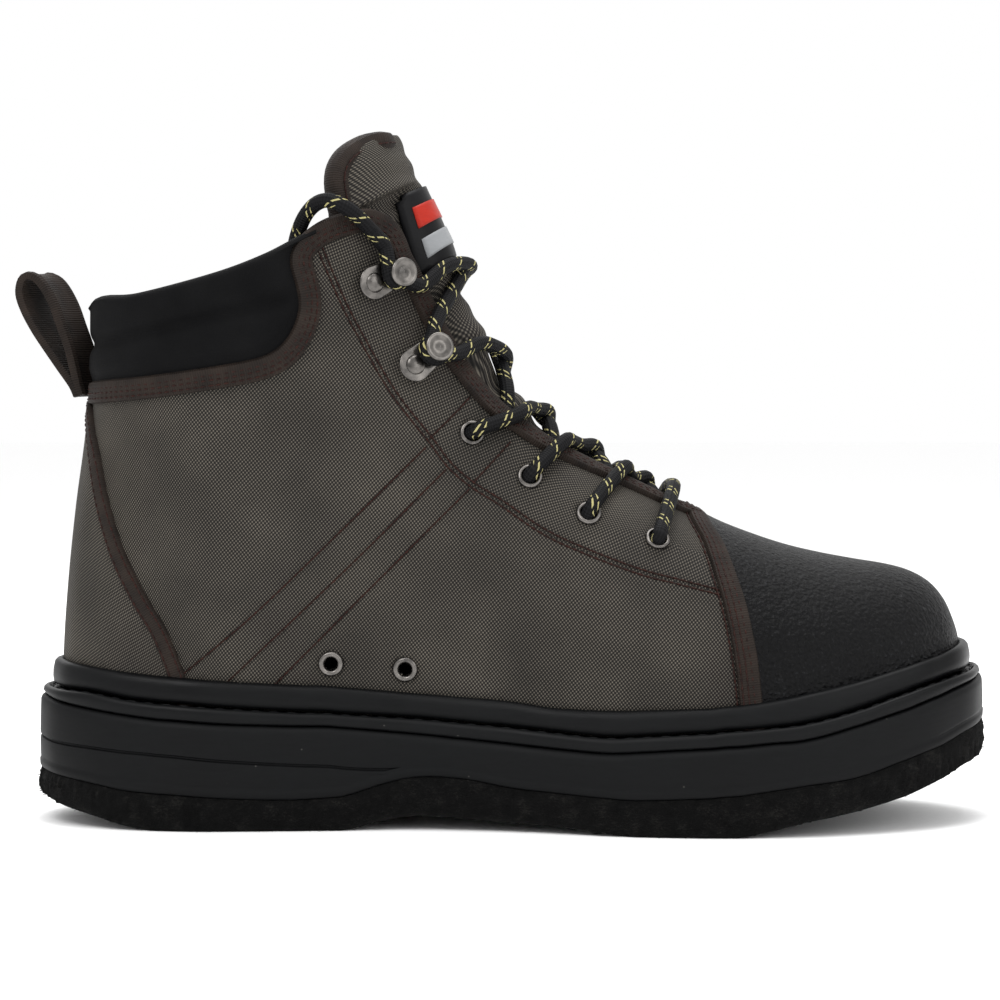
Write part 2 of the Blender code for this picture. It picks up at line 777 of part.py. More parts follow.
def round_cutter(name, place, side, diameter):
    """A drill through the side of the upper."""
    point, normal = skin_at(*place, side)
    data = bmesh.new()
    bmesh.ops.create_cone(data, cap_ends=True, segments=10, radius1=diameter / 2,
                          radius2=diameter / 2, depth=6 * UPPER_WALL)
    drill = make_object(name, data, None, CUTTERS)
    drill.matrix_world = seat_matrix(point, normal)
    return drill


def seat_matrix(point, normal, ahead=None):
    """A seat on the form: local Z along the normal, local X towards a place ahead."""
    ahead = ahead or Vector((1, 0, 0))
    across = normal.cross(ahead).normalized()
    along = across.cross(normal).normalized()
    matrix = Matrix((along, across, normal)).transposed().to_4x4()
    matrix.translation = point
    return matrix


def build_upper():
    upper = shell("upper", -UPPER_WALL, 0.0, FABRIC)
    boolean(upper, "INTERSECT", side_prism("upper_side", below(EDGE_LINE)))
    boolean(upper, "DIFFERENCE", throat_slot("throat_cut", 0.0))
    for side, label in ((LATERAL, "outer"), (MEDIAL, "inner")):
        for index, place in enumerate(EYELETS):
            boolean(upper, "DIFFERENCE",
                    round_cutter(f"lace_hole_{label}_{index + 1}", place, side, EYELET_HOLE))
        for index, place in enumerate(DRAINS):
            boolean(upper, "DIFFERENCE",
                    round_cutter(f"drain_hole_{label}_{index + 1}", place, side, DRAIN_HOLE))


def build_collar():
    cuff = shell("collar_cuff", -CUFF_INSIDE, CUFF_OUTSIDE, NEOPRENE)
    low = side_line(CUFF_LINE)
    top = [point for point in side_line(TOP_LINE) if point.x < low[-1].x - 0.002]
    boolean(cuff, "INTERSECT", side_prism("cuff_side", shifted(low, 2 * CLEARANCE) + top[::-1]))
    tape = shell("collar_binding", CLEARANCE, BINDING, TAPE)
    boolean(tape, "INTERSECT", side_prism("collar_band",
                                          between(EDGE_LINE, -CLEARANCE, -BINDING_WIDTH)))
    boolean(tape, "DIFFERENCE", throat_slot("collar_throat_cut", 0.0))
    behind_cap = side_prism("behind_cap", shifted(side_line(TOE_SEAM), -BINDING_WIDTH - CLEARANCE)
                            + [Vector((HEEL_SIDE, 0)), Vector((HEEL_SIDE, SKY))])
    under_edge = below(shifted(EDGE_LINE, -BINDING_WIDTH - CLEARANCE))
    band = throat_slot("throat_band", BINDING_WIDTH)
    opening = throat_slot("binding_throat_cut", 0.0, 3 * BINDING_WIDTH)
    for side, label in ((LATERAL, "outer"), (MEDIAL, "inner")):
        tape = shell(f"throat_binding_{label}", CLEARANCE, BINDING, TAPE)
        half = side_prism(f"throat_side_{label}", under_edge,
                          *sorted((side * UPPER_WALL, side * BALL_WIDTH)))
        boolean(tape, "INTERSECT", half)
        boolean(tape, "INTERSECT", band)
        boolean(tape, "INTERSECT", behind_cap)
        boolean(tape, "DIFFERENCE", opening)
        for index, place in enumerate(EYELETS):
            boolean(tape, "DIFFERENCE",
                    round_cutter(f"eyelet_seat_{label}_{index + 1}", place, side,
                                 EYELET_OUTER + 2 * CLEARANCE))


def build_toe_and_counter():
    seam = side_line(TOE_SEAM)
    front = [Vector((TOE_SIDE, 0)), Vector((TOE_SIDE, SKY))]
    cap = shell("toe_cap", CLEARANCE, OVERLAY, CAP_FABRIC)
    boolean(cap, "INTERSECT", side_prism("cap_side", seam + front))
    boolean(cap, "INTERSECT", over_rand())
    tape = shell("toe_cap_binding", CLEARANCE, BINDING, TAPE)
    boolean(tape, "INTERSECT", side_prism("cap_band",
                                          between(seam, -CLEARANCE, -BINDING_WIDTH)))
    boolean(tape, "INTERSECT", over_rand())
    seam = side_line(COUNTER_SEAM)
    under = side_prism("under_collar", below(shifted(EDGE_LINE, -BINDING_WIDTH - CLEARANCE)))
    back = [Vector((HEEL_SIDE, 0)), Vector((HEEL_SIDE, SKY))]
    half = BINDING_WIDTH / 2
    counter = shell("heel_counter", CLEARANCE, OVERLAY, FABRIC)
    boolean(counter, "INTERSECT", side_prism("counter_side",
                                             shifted(seam, -half - CLEARANCE) + back))
    tape = shell("counter_binding", CLEARANCE, BINDING, TAPE)
    boolean(tape, "INTERSECT", side_prism("counter_band", between(seam, half, -half)))
    for piece in (counter, tape):
        boolean(piece, "INTERSECT", over_rand())
        boolean(piece, "INTERSECT", under)


build_upper()
build_collar()
build_toe_and_counter()


# Tongue
def ridge_side(rib, across):
    """Point and outward normal of the form at a distance across from the ridge."""
    side = 1 if across >= 0 else -1
    low, high = 0.0, 0.75
    for _ in range(24):
        middle = (low + high) / 2
        point = last_point(rib, side * middle)
        if abs(point.y - centre_y(point.x)) < abs(across):
            low = middle
        else:
            high = middle
    point = last_point(rib, side * low)
    step = 0.02
    along = last_point(min(rib + step * 5, len(RIBS) - 1), side * low) - last_point(
        rib - step * 5, side * low)
    over = last_point(rib, side * low + step) - last_point(rib, side * low - step)
    return point, over.cross(along).normalized()


def tongue_profile(rib):
    """Across the tongue from its middle: distance from the ridge and share of the swelling. It
    swells out through the throat and lies flat under the upper's edges."""
    gap = throat_half(rib)
    half = table_at(TONGUE, rib, 1) * HALF_BALL
    if rib > TONGUE_FREE:
        return [(share * half, rise) for share, rise in zip((0, 0.2, 0.4, 0.6, 0.8, 1),
                                                            (1, 1, 0.95, 0.9, 0.7, 0.3))]
    edge = gap - 4 * CLEARANCE
    return [(0.0, 1.0), (0.40 * gap, 0.9), (0.72 * gap, 0.5), (edge, 0.0),
            ((edge + half) / 2, 0.0), (half, 0.0)]


def tongue_place(rib, across, lift=0.0):
    """A point over the tongue's outer face, at a distance across from the ridge."""
    swell = table_at(tongue_profile(rib), abs(across), 1)
    rise = swell * table_at(TONGUE, rib, 2) * TONGUE_THICKNESS
    point, normal = ridge_side(rib, across)
    return point + normal * (rise + lift - max(UPPER_WALL, CUFF_INSIDE) - 2 * CLEARANCE)


def build_tongue():
    data = bmesh.new()
    rows = len(TONGUE) - 1
    columns = len(tongue_profile(0)) - 1
    bmesh.ops.create_grid(data, x_segments=rows, y_segments=2 * columns, size=1)
    for vert in data.verts:
        rib = TONGUE[round((vert.co.x + 1) / 2 * rows)][0]
        column = round(vert.co.y * columns)
        across = math.copysign(tongue_profile(rib)[abs(column)][0], column)
        vert.co = tongue_place(rib, across)
    tongue = make_object("tongue", data, CAP_FABRIC)
    solidify(tongue, TONGUE_THICKNESS, False)


build_tongue()


def build_patch():
    """A plain rubber patch on the front of the tongue."""
    data = bmesh.new()
    rows, columns = len(PATCH_RIBS) - 1, 2
    bmesh.ops.create_grid(data, x_segments=rows, y_segments=2 * columns, size=1)
    for vert in data.verts:
        rib = PATCH_RIBS[round((vert.co.x + 1) / 2 * rows)]
        column = round(vert.co.y * columns)
        across = math.copysign(tongue_profile(rib)[abs(column)][0], column)
        vert.co = tongue_place(rib, across, 2 * CLEARANCE)
    patch = make_object("tongue_patch", data, RUBBER)
    solidify(patch, PATCH_THICKNESS, True)


build_patch()


# Fittings
def turned(name, profile, steps, finish, group=None):
    """A solid turned round local Z from an open profile that starts and ends on the axis, or
    from a closed one clear of it."""
    data = bmesh.new()
    verts = [data.verts.new((radius, 0, level)) for radius, level in profile]
    edges = [data.edges.new(pair) for pair in zip(verts, verts[1:])]
    if profile[0][0] > 0:
        edges.append(data.edges.new((verts[-1], verts[0])))
    bmesh.ops.spin(data, geom=verts + edges, cent=(0, 0, 0), axis=(0, 0, 1),
                   angle=2 * math.pi, steps=steps, use_merge=True)
    bmesh.ops.remove_doubles(data, verts=data.verts, dist=0.00002)
    return make_object(name, data, finish, group)


def grommet(name, place, side, outer, hole):
    """A pressed ring round a hole in the upper."""
    point, normal = skin_at(*place, side)
    top, rim = EYELET_PROUD, (outer - hole) / 2
    profile = [(hole / 2, 0), (hole / 2, 0.7 * top), (hole / 2 + 0.5 * rim, top),
               (outer / 2, 0.5 * top), (outer / 2, 0)]
    ring = turned(name, profile, 10, METAL)
    ring.matrix_world = seat_matrix(point + normal * CLEARANCE, normal)


def speed_hook(name, row, side):
    """A lace hook: a pear-shaped plate, its rivet, and a round head on a stem."""
    rivet, rivet_normal = skin_at(*row[:2], side)
    head, head_normal = skin_at(*row[2:], side)
    normal = (rivet_normal + head_normal).normalized()
    reach = (head - rivet).length
    seat = seat_matrix(rivet, normal, head - rivet)
    ends = ((0, HOOK_WIDTH / 2), (reach, 0.42 * HOOK_WIDTH))
    seat.translation += normal * (high_spot(seat, ends) + BINDING + 2 * CLEARANCE)
    data = bmesh.new()
    for centre, radius in ends:
        for level in (0, HOOK_PLATE):
            made = bmesh.ops.create_circle(data, segments=10, radius=radius)
            bmesh.ops.translate(data, verts=made["verts"], vec=(centre, 0, level))
    hull = bmesh.ops.convex_hull(data, input=data.verts)
    bmesh.ops.delete(data, geom=hull["geom_interior"] + hull["geom_unused"], context="VERTS")
    bmesh.ops.dissolve_limit(data, angle_limit=0.01, verts=data.verts, edges=data.edges)
    hook = make_object(name, data, METAL)
    inside, stem, half = 0.5 * HOOK_PLATE, HOOK_STEM / 2, HOOK_HEAD / 2
    under = HOOK_PLATE + HOOK_GAP
    top = under + HOOK_HEAD_THICKNESS
    head_profile = [(0, inside), (stem, inside), (stem, under), (half, under),
                    (half, blend(under, top, 0.6)), (0.8 * half, top), (0, top)]
    dome = 0.18 * HOOK_WIDTH
    rivet_profile = [(0, inside), (1.4 * dome, inside), (1.4 * dome, HOOK_PLATE),
                     (dome, 1.8 * HOOK_PLATE), (0, 1.9 * HOOK_PLATE)]
    for label, profile, centre in (("head", head_profile, reach), ("rivet", rivet_profile, 0)):
        tool = turned(f"{name}_{label}", profile, 8, None, CUTTERS)
        tool.matrix_world = seat @ Matrix.Translation((centre, 0, 0))
        boolean(hook, "UNION", tool)
    hook.matrix_world = seat


def high_spot(seat, ends):
    """How far the form rises over a seat, under discs along its X."""
    most = 0.0
    for centre, radius in ends:
        for step in range(8):
            turn = step * math.pi / 4
            over = Vector((centre + radius * math.cos(turn), radius * math.sin(turn), BALL_WIDTH))
            start = seat @ over
            found, _, _, _ = LAST_TREE.ray_cast(start, -seat.col[2].to_3d())
            if found:
                most = max(most, (seat.inverted() @ found).z)
    return most


for foot_side, foot_label in ((LATERAL, "outer"), (MEDIAL, "inner")):
    for number, spot in enumerate(EYELETS):
        grommet(f"lace_eyelet_{foot_label}_{number + 1}", spot, foot_side, EYELET_OUTER,
                EYELET_HOLE)
    for number, spot in enumerate(DRAINS):
        grommet(f"drain_grommet_{foot_label}_{number + 1}", spot, foot_side, DRAIN_OUTER,
                DRAIN_HOLE)
    for number, spot in enumerate(HOOKS):
        speed_hook(f"speed_hook_{foot_label}_{number + 1}", spot, foot_side)


# Lace
def cord_curve(name, route, diameter, resolution, cyclic=False, group=None):
    curve = bpy.data.curves.new(name, "CURVE")
    curve.dimensions = "3D"
    curve.bevel_depth = diameter / 2
    curve.bevel_resolution = resolution
    curve.use_fill_caps = not cyclic
    run = curve.splines.new("POLY")
    run.points.add(len(route) - 1)
    run.use_cyclic_u = cyclic
    for knot, point in zip(run.points, route):
        knot.co = (*point, 1)
    made = bpy.data.objects.new(name, curve)
    (group or PARTS).objects.link(made)
    return made


def cord_mesh(name, route, diameter, resolution, finish, group=None):
    """A cord as a closed mesh, which another can be joined to."""
    curve = cord_curve(name + "_line", route, diameter, resolution, group=CUTTERS)
    graph = bpy.context.evaluated_depsgraph_get()
    mesh = bpy.data.meshes.new_from_object(curve.evaluated_get(graph))
    data = bmesh.new()
    data.from_mesh(mesh)
    bmesh.ops.remove_doubles(data, verts=data.verts, dist=0.00002)
    bpy.data.objects.remove(curve, do_unlink=True)
    return make_object(name, data, finish, group)


def lace_start(level, side, toward):
    """Where the lace leaves an eyelet or a hook, outside the upper."""
    if level < len(EYELETS):
        point, normal = skin_at(*EYELETS[level], side)
        return point + normal * (EYELET_PROUD + HALF_LACE + 6 * CLEARANCE)
    point, normal = skin_at(*HOOKS[level - len(EYELETS)][2:], side)
    beside = (HOOK_STEM / 2 + HALF_LACE + 3 * CLEARANCE) * toward
    along = normal.cross(Vector((0, side, 0))).normalized()
    along = along if along.z > 0 else -along
    return point + normal * (HOOK_BASE + HOOK_PLATE + HOOK_GAP / 2) + along * beside


def over_edge(level, side, toward):
    """Where the lace passes over the bound edge of the throat."""
    rib = LACE_RIBS[level][1 if toward > 0 else 0]
    point, normal = ridge_side(rib, side * (throat_half(rib) + LACE_REST * BINDING_WIDTH))
    return point + normal * (BINDING + HALF_LACE + 6 * CLEARANCE)


def over_tongue(level, side, share):
    """A place of a strand on the tongue, from its near edge to the far one."""
    near_rib, far_rib = LACE_RIBS[level][0], LACE_RIBS[level - 1][1]
    across = blend(throat_half(near_rib), -throat_half(far_rib), share)
    return tongue_place(blend(near_rib, far_rib, share), side * across, HALF_LACE + LACE_LIFT)


def strand(level, side):
    """One strand of a crossing: from its eyelet or hook over the near edge and the tongue, and
    then down beside the far edge, or over it to the hook."""
    hooked = level > len(EYELETS)
    shares = HOOKED_SHARES if hooked else TUCKED_SHARES
    route = [lace_start(level, side, -1), over_edge(level, side, -1)]
    route += [over_tongue(level, side, share) for share in shares]
    if hooked:
        route += [over_edge(level - 1, -side, 1), lace_start(level - 1, -side, 1)]
    return smooth_line([tuple(point) for point in route], 2)


def build_lace():
    first = [lace_start(0, LATERAL, 0), over_edge(0, LATERAL, 0), over_edge(0, MEDIAL, 0),
             lace_start(0, MEDIAL, 0)]
    cord_mesh("lace_bar", smooth_line([tuple(point) for point in first], 3), LACE_DIAMETER, 1,
              CORD)
    for level in range(1, len(LACE_RIBS)):
        name = f"lace_crossing_{level}"
        one = cord_mesh(name, strand(level, LATERAL), LACE_DIAMETER, 1, CORD)
        other = cord_mesh(name + "_strand", strand(level, MEDIAL), LACE_DIAMETER, 1, None, CUTTERS)
        boolean(one, "UNION", other)


build_lace()


# The lace's end that shows, from the top hook over the collar's edge and into the boot.
LACE_END = [
    (0.0524, -0.0323, 0.1935),
    (0.0476, -0.0358, 0.1992),
    (0.0430, -0.0394, 0.2038),
    (0.0385, -0.0416, 0.2068),
    (0.0340, -0.0408, 0.2084),
    (0.0298, -0.0380, 0.2072),
    (0.0262, -0.0352, 0.2034),
    (0.0236, -0.0332, 0.1975),
    (0.0220, -0.0322, 0.1900),
    (0.0212, -0.0316, 0.1820),
]


def build_lace_end():
    route = smooth_line(LACE_END, 3)
    end = cord_curve("lace_end_outer", route, LACE_DIAMETER, 2)
    end.data.materials.append(CORD)


def ribbon(name, line, width, thickness, finish):
    """A flat strip of the given width across the boot, along a side-view line."""
    def place(along, side, shift):
        index = round(along * (len(line) - 1))
        return shifted(line, shift)[index].x, side * width / 2, shifted(line, shift)[index].y

    data = bmesh.new()
    drawn_sheet(data, len(line) - 1, [-thickness / 2, thickness / 2], place)
    return make_object(name, data, finish)


def build_loop():
    ribbon("pull_loop", side_line(LOOP_LINE, 2), LOOP_WIDTH, LOOP_THICKNESS, TAPE)


def build_gaiter_ring():
    """A wire ring for a gaiter's hook, held by a folded tab on the tongue behind a crossing."""
    back, front, far = GAITER_RIBS
    data = bmesh.new()
    bmesh.ops.create_grid(data, x_segments=1, y_segments=2, size=1)
    for vert in data.verts:
        rib = back if vert.co.x < 0 else front
        vert.co = tongue_place(rib, vert.co.y * TAB_WIDTH / 2, 2 * CLEARANCE)
    tab = make_object("gaiter_ring_tab", data, TAPE)
    solidify(tab, 1.6 * RING_WIRE, True)
    low = RING_WIRE / 2 + 3 * CLEARANCE
    start = front - 0.10
    outline = [(start, -0.30), (start - 0.04, -0.85), (blend(start, far, 0.5), -1.0),
               (far + 0.06, -0.60), (far, 0.0), (far + 0.06, 0.60),
               (blend(start, far, 0.5), 1.0), (start - 0.04, 0.85), (start, 0.30)]
    half = RING_WIDTH / 2
    route = smooth_line([tuple(tongue_place(rib, across * half, low)) for rib, across in outline], 2)
    ring = cord_curve("gaiter_ring", route, RING_WIRE, 2)
    ring.data.materials.append(METAL)


build_lace_end()
build_loop()
build_gaiter_ring()
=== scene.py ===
"""Looks of the wading boot: one operator for each piece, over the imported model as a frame.

Metres, +Z up, +X to the toe, and -Y is the outer side of the foot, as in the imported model.
"""
import math
import random
from bisect import bisect_left
from operator import itemgetter

import bmesh
import bpy
from bpy.props import FloatProperty, FloatVectorProperty, PointerProperty
from mathutils import Matrix, Vector
from mathutils.bvhtree import BVHTree
from mathutils.kdtree import KDTree


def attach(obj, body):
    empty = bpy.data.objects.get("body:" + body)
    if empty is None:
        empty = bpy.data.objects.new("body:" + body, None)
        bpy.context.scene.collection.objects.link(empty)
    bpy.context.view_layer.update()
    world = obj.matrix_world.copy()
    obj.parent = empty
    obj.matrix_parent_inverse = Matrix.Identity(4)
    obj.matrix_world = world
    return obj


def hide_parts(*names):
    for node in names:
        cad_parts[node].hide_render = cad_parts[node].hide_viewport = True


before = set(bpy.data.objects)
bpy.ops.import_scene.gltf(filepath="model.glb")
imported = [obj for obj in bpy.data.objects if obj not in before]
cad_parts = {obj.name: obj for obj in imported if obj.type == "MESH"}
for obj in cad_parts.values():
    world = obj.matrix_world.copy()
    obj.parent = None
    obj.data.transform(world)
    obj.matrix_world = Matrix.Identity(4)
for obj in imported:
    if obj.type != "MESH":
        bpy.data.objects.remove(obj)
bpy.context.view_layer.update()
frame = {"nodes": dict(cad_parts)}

bl_info = {
    "name": "Wading Boot Looks",
    "version": (1, 0, 0),
    "blender": (4, 5, 0),
    "location": "3D View > Sidebar > Wading Boot",
    "description": "Builds the visible pieces and finishes of a felt-soled wading boot",
    "category": "Object",
}

# Sole
SOLE_LENGTH = 0.324
BALL_WIDTH = 0.114
HEEL_REACH = 0.067
TOE_SPRING = 0.023
FELT_THICKNESS = 0.012
MIDSOLE_HEIGHT = 0.025
WELT_THICKNESS = 0.005
RAND_HEIGHT = 0.009
RAND_INSET = 0.0048
INSOLE_MARGIN = 0.0018

# Upper
UPPER_INSET = 0.0092
UPPER_RISE = 0.165
UPPER_WALL = 0.0025
OVERLAY = 0.0012
BINDING = 0.0017
BINDING_WIDTH = 0.0065
CUFF_INSIDE = 0.0032
TONGUE_THICKNESS = 0.0065
THROAT_HALF_GAP = 0.019
CLEARANCE = 0.0003

# Lace and fittings
LACE_DIAMETER = 0.005
EYELET_OUTER = 0.0085
EYELET_HOLE = 0.0052
DRAIN_OUTER = 0.0085
DRAIN_HOLE = 0.0044
HOOK_WIDTH = 0.0112
HOOK_PLATE = 0.0012
HOOK_HEAD = 0.0088
HOOK_HEAD_THICKNESS = 0.0014
HOOK_STEM = 0.0032
HOOK_GAP = 0.0062
RING_WIRE = 0.0018
RING_WIDTH = 0.008
TAB_WIDTH = 0.0052
LOOP_WIDTH = 0.016
LOOP_THICKNESS = 0.0018

# Sizes that only the looks have: walls, how far overlays go down behind the rand, how deep the
# lace goes into an eyelet, and how the seams press in and the cuff swells
OVERLAY_WALL = 0.0009
TUCK = 0.0035
INTO_EYELET = -0.0042
SEAM_RISE, SEAM_DEPTH, SEAM_WIDTH = 0.00025, 0.0007, 0.0013
TWIN_SEAM = 0.0009
CUFF_PUFF = (0.0012, 0.0026)
LOOP_YAW = math.radians(24)
HOOK_REACH_SHARE, STEM_SHARE, HEAD_SHARE = 0.74, 0.6, 0.56
STITCH_PITCH, STITCH_SIZE = 0.0026, 0.00038
FIBRES = 1500

# Steps of the meshes: along seams, along curves before they are smoothed, between points of the
# patterns, and the distance at which cells of a form are joined
SEAM_STEP, FINE_STEP, WIRE_STEP = 0.0015, 0.0008, 0.0006
PATTERN = 0.002
WELD = 0.00004

# Camera, and the lights with their place, size and power
CAMERA_PLACE, CAMERA_AIM = (0.0906, -1.1, 0.1513), (0.0906, 0.0, 0.1083)
LIGHT_AIM = (0.09, 0.0, 0.10)
LIGHTS = [("key", (-0.45, -0.9, 1.25), 0.7, 9.0), ("fill", (1.1, -0.9, 0.7), 0.8, 4.0),
          ("top", (0.25, 0.1, 1.3), 0.8, 9.0), ("rim", (-0.3, 0.9, 0.8), 0.8, 4.0)]

# Worked out from the sizes above
SEAT_HEIGHT = FELT_THICKNESS + MIDSOLE_HEIGHT + WELT_THICKNESS * 0.6
UPPER_LENGTH = SOLE_LENGTH - 2 * UPPER_INSET
HALF_BALL = BALL_WIDTH / 2
HOOK_BASE = BINDING + 2 * CLEARANCE
HALF_LACE = LACE_DIAMETER / 2
LATERAL, MEDIAL = -1, 1

# Plan of the sole. Columns: share of SOLE_LENGTH from the heel, outer and inner side as shares
# of half of BALL_WIDTH. At the toe both columns name the same tip, which lies towards the big toe.
SOLE_PLAN = [
    (0.000, 0.000, 0.000), (0.008, 0.228, 0.228), (0.030, 0.430, 0.430),
    (0.080, 0.614, 0.614), (0.150, 0.720, 0.720), (0.200, 0.737, 0.730),
    (0.300, 0.700, 0.684), (0.400, 0.675, 0.632), (0.500, 0.754, 0.700),
    (0.600, 0.930, 0.860), (0.680, 1.000, 0.955), (0.750, 1.000, 0.980),
    (0.820, 0.940, 0.955), (0.900, 0.754, 0.840), (0.950, 0.560, 0.667),
    (0.985, 0.300, 0.410), (1.000, -0.140, 0.140),
]

# Side line of the sole. Columns: share of SOLE_LENGTH, underside as a share of TOE_SPRING, then
# the share that felt, midsole, welt and rand each have there of their named heights, and how far
# up the midsole its side groove runs.
SOLE_LINE = [
    (0.000, 0.417, 0.683, 1.012, 0.54, 1.13, 0.43),
    (0.034, 0.283, 0.810, 0.988, 0.90, 1.01, 0.46),
    (0.065, 0.187, 0.883, 0.984, 1.10, 0.93, 0.49),
    (0.101, 0.061, 0.967, 1.000, 1.04, 0.98, 0.52),
    (0.134, 0.000, 1.017, 0.984, 1.06, 0.99, 0.53),
    (0.203, 0.000, 0.908, 0.980, 1.04, 0.98, 0.51),
    (0.274, 0.000, 0.858, 0.972, 0.92, 0.99, 0.48),
    (0.324, 0.000, 0.933, 0.912, 0.88, 0.98, 0.43),
    (0.368, 0.143, 1.017, 0.692, 0.94, 0.94, 0.28),
    (0.403, 0.213, 1.075, 0.560, 1.00, 0.91, 0.20),
    (0.447, 0.178, 1.100, 0.528, 1.02, 0.93, 0.20),
    (0.500, 0.135, 0.950, 0.580, 1.06, 0.94, 0.20),
    (0.540, 0.109, 0.917, 0.576, 1.04, 0.88, 0.20),
    (0.593, 0.043, 0.950, 0.584, 1.00, 0.97, 0.20),
    (0.625, 0.000, 0.992, 0.624, 1.00, 0.94, 0.20),
    (0.699, 0.000, 1.075, 0.644, 0.98, 0.89, 0.20),
    (0.725, 0.000, 1.133, 0.640, 1.02, 0.90, 0.20),
    (0.762, 0.100, 1.083, 0.616, 1.00, 0.97, 0.20),
    (0.796, 0.213, 1.000, 0.592, 1.06, 1.06, 0.20),
    (0.849, 0.343, 0.925, 0.672, 1.00, 1.02, 0.20),
    (0.902, 0.522, 1.000, 0.656, 1.08, 0.93, 0.20),
    (0.942, 0.726, 0.933, 0.664, 0.94, 0.92, 0.20),
    (0.968, 0.891, 0.917, 0.628, 0.76, 1.00, 0.20),
    (1.000, 1.000, 0.942, 0.608, 0.50, 1.00, 0.20),
]

# Ribs of the last. Columns: foot of the rib (share of UPPER_LENGTH from the heel, share of
# UPPER_RISE over the seat), its top on the ridge line (the same shares), where along the rib the
# top starts to round, how square that rounding is, and 1 where the rib starts on the back line.
RIBS = [
    (1.0000, -0.073, 1.0000, 0.103, 0.40, 2.2, 0.0),
    (0.9974, -0.073, 0.9974, 0.134, 0.40, 2.2, 0.0),
    (0.9904, -0.073, 0.9904, 0.170, 0.38, 2.2, 0.0),
    (0.9806, -0.073, 0.9806, 0.207, 0.36, 2.2, 0.0),
    (0.9657, -0.073, 0.9657, 0.238, 0.34, 2.2, 0.0),
    (0.9440, -0.073, 0.9440, 0.260, 0.32, 2.2, 0.0),
    (0.9176, -0.073, 0.9176, 0.273, 0.30, 2.2, 0.0),
    (0.8847, -0.073, 0.8847, 0.283, 0.30, 2.2, 0.0),
    (0.8400, -0.073, 0.8440, 0.297, 0.30, 2.2, 0.0),
    (0.7900, -0.073, 0.8056, 0.314, 0.30, 2.2, 0.0),
    (0.7400, -0.073, 0.7677, 0.337, 0.30, 2.2, 0.0),
    (0.6870, -0.073, 0.7282, 0.366, 0.32, 2.2, 0.0),
    (0.6277, -0.073, 0.6886, 0.405, 0.34, 2.2, 0.0),
    (0.5651, -0.073, 0.6491, 0.444, 0.36, 2.2, 0.0),
    (0.4992, -0.073, 0.6046, 0.487, 0.38, 2.2, 0.0),
    (0.4333, -0.073, 0.5591, 0.536, 0.40, 2.2, 0.0),
    (0.3674, -0.073, 0.5206, 0.590, 0.42, 2.2, 0.0),
    (0.3015, -0.073, 0.4893, 0.647, 0.44, 2.2, 0.0),
    (0.2356, -0.073, 0.4662, 0.706, 0.46, 2.2, 0.0),
    (0.1730, -0.073, 0.4498, 0.760, 0.48, 2.2, 0.0),
    (0.1170, -0.073, 0.4382, 0.809, 0.50, 2.2, 0.1),
    (0.0708, -0.073, 0.4293, 0.851, 0.50, 2.2, 0.3),
    (0.0346, -0.073, 0.4227, 0.887, 0.50, 2.2, 0.6),
    (0.0115, -0.073, 0.4178, 0.915, 0.50, 2.2, 0.9),
    (0.0000, -0.073, 0.4142, 0.938, 0.50, 2.2, 1.0),
    (0.0007, 0.1030, 0.4102, 0.961, 0.50, 2.2, 1.0),
    (0.0066, 0.2545, 0.4063, 0.985, 0.50, 2.2, 1.0),
    (0.0155, 0.4060, 0.4020, 1.009, 0.50, 2.2, 1.0),
    (0.0264, 0.5515, 0.3970, 1.036, 0.50, 2.2, 1.0),
    (0.0339, 0.6788, 0.3904, 1.069, 0.50, 2.2, 1.0),
    (0.0362, 0.8242, 0.3822, 1.109, 0.50, 2.2, 1.0),
    (0.0362, 0.9697, 0.3740, 1.151, 0.50, 2.2, 1.0),
    (0.0362, 1.2100, 0.3600, 1.210, 0.50, 2.2, 1.0),
]

# How the upper widens over its foot. Columns: height over the deck as a share of UPPER_RISE, and
# the width there as a share of the foot's width.
GIRTH = [
    (0.00, 1.00), (0.07, 1.00), (0.18, 1.04), (0.36, 1.09), (0.54, 1.17), (0.70, 1.28),
    (0.85, 1.36), (1.00, 1.38), (1.30, 1.38),
]

# Top line of the collar and eyestay, from the back. Columns: share of UPPER_LENGTH, share of
# UPPER_RISE over the seat.
TOP_LINE = [
    (-0.050, 0.800), (0.030, 0.815), (0.052, 0.834), (0.094, 0.838), (0.176, 0.875),
    (0.230, 0.912), (0.268, 0.949), (0.303, 0.983), (0.338, 1.001), (0.356, 0.993),
    (0.370, 0.975), (0.380, 0.940), (0.388, 0.905), (0.430, 0.860),
]

# Line where the fabric ends and the padded cuff starts, from the back.
CUFF_LINE = [
    (-0.050, 0.630), (0.034, 0.653), (0.108, 0.667), (0.193, 0.690), (0.234, 0.708),
    (0.256, 0.738), (0.268, 0.780), (0.272, 0.822), (0.267, 0.862), (0.262, 0.895),
    (0.264, 0.922), (0.273, 0.946), (0.286, 0.966),
]

# Seams in side view, from top to bottom. The same columns.
TOE_SEAM = [
    (0.708, 0.420), (0.714, 0.366), (0.726, 0.330), (0.738, 0.270), (0.747, 0.218),
    (0.754, 0.160), (0.760, 0.100), (0.765, 0.016), (0.770, -0.060),
]
COUNTER_SEAM = [
    (0.028, 0.700), (0.030, 0.611), (0.041, 0.510), (0.052, 0.408), (0.070, 0.305),
    (0.094, 0.216), (0.114, 0.155), (0.135, 0.058), (0.155, -0.060),
]

# Places on the side of the upper. Columns: the same shares; the first lace eyelet is at the toe.
EYELETS = [(0.656, 0.344), (0.582, 0.395), (0.518, 0.468), (0.455, 0.556)]
DRAINS = [(0.301, 0.090), (0.382, 0.078)]

# Speed hooks. Columns: rivet and head as side-view shares.
HOOKS = [(0.389, 0.689, 0.413, 0.727), (0.344, 0.857, 0.370, 0.883)]

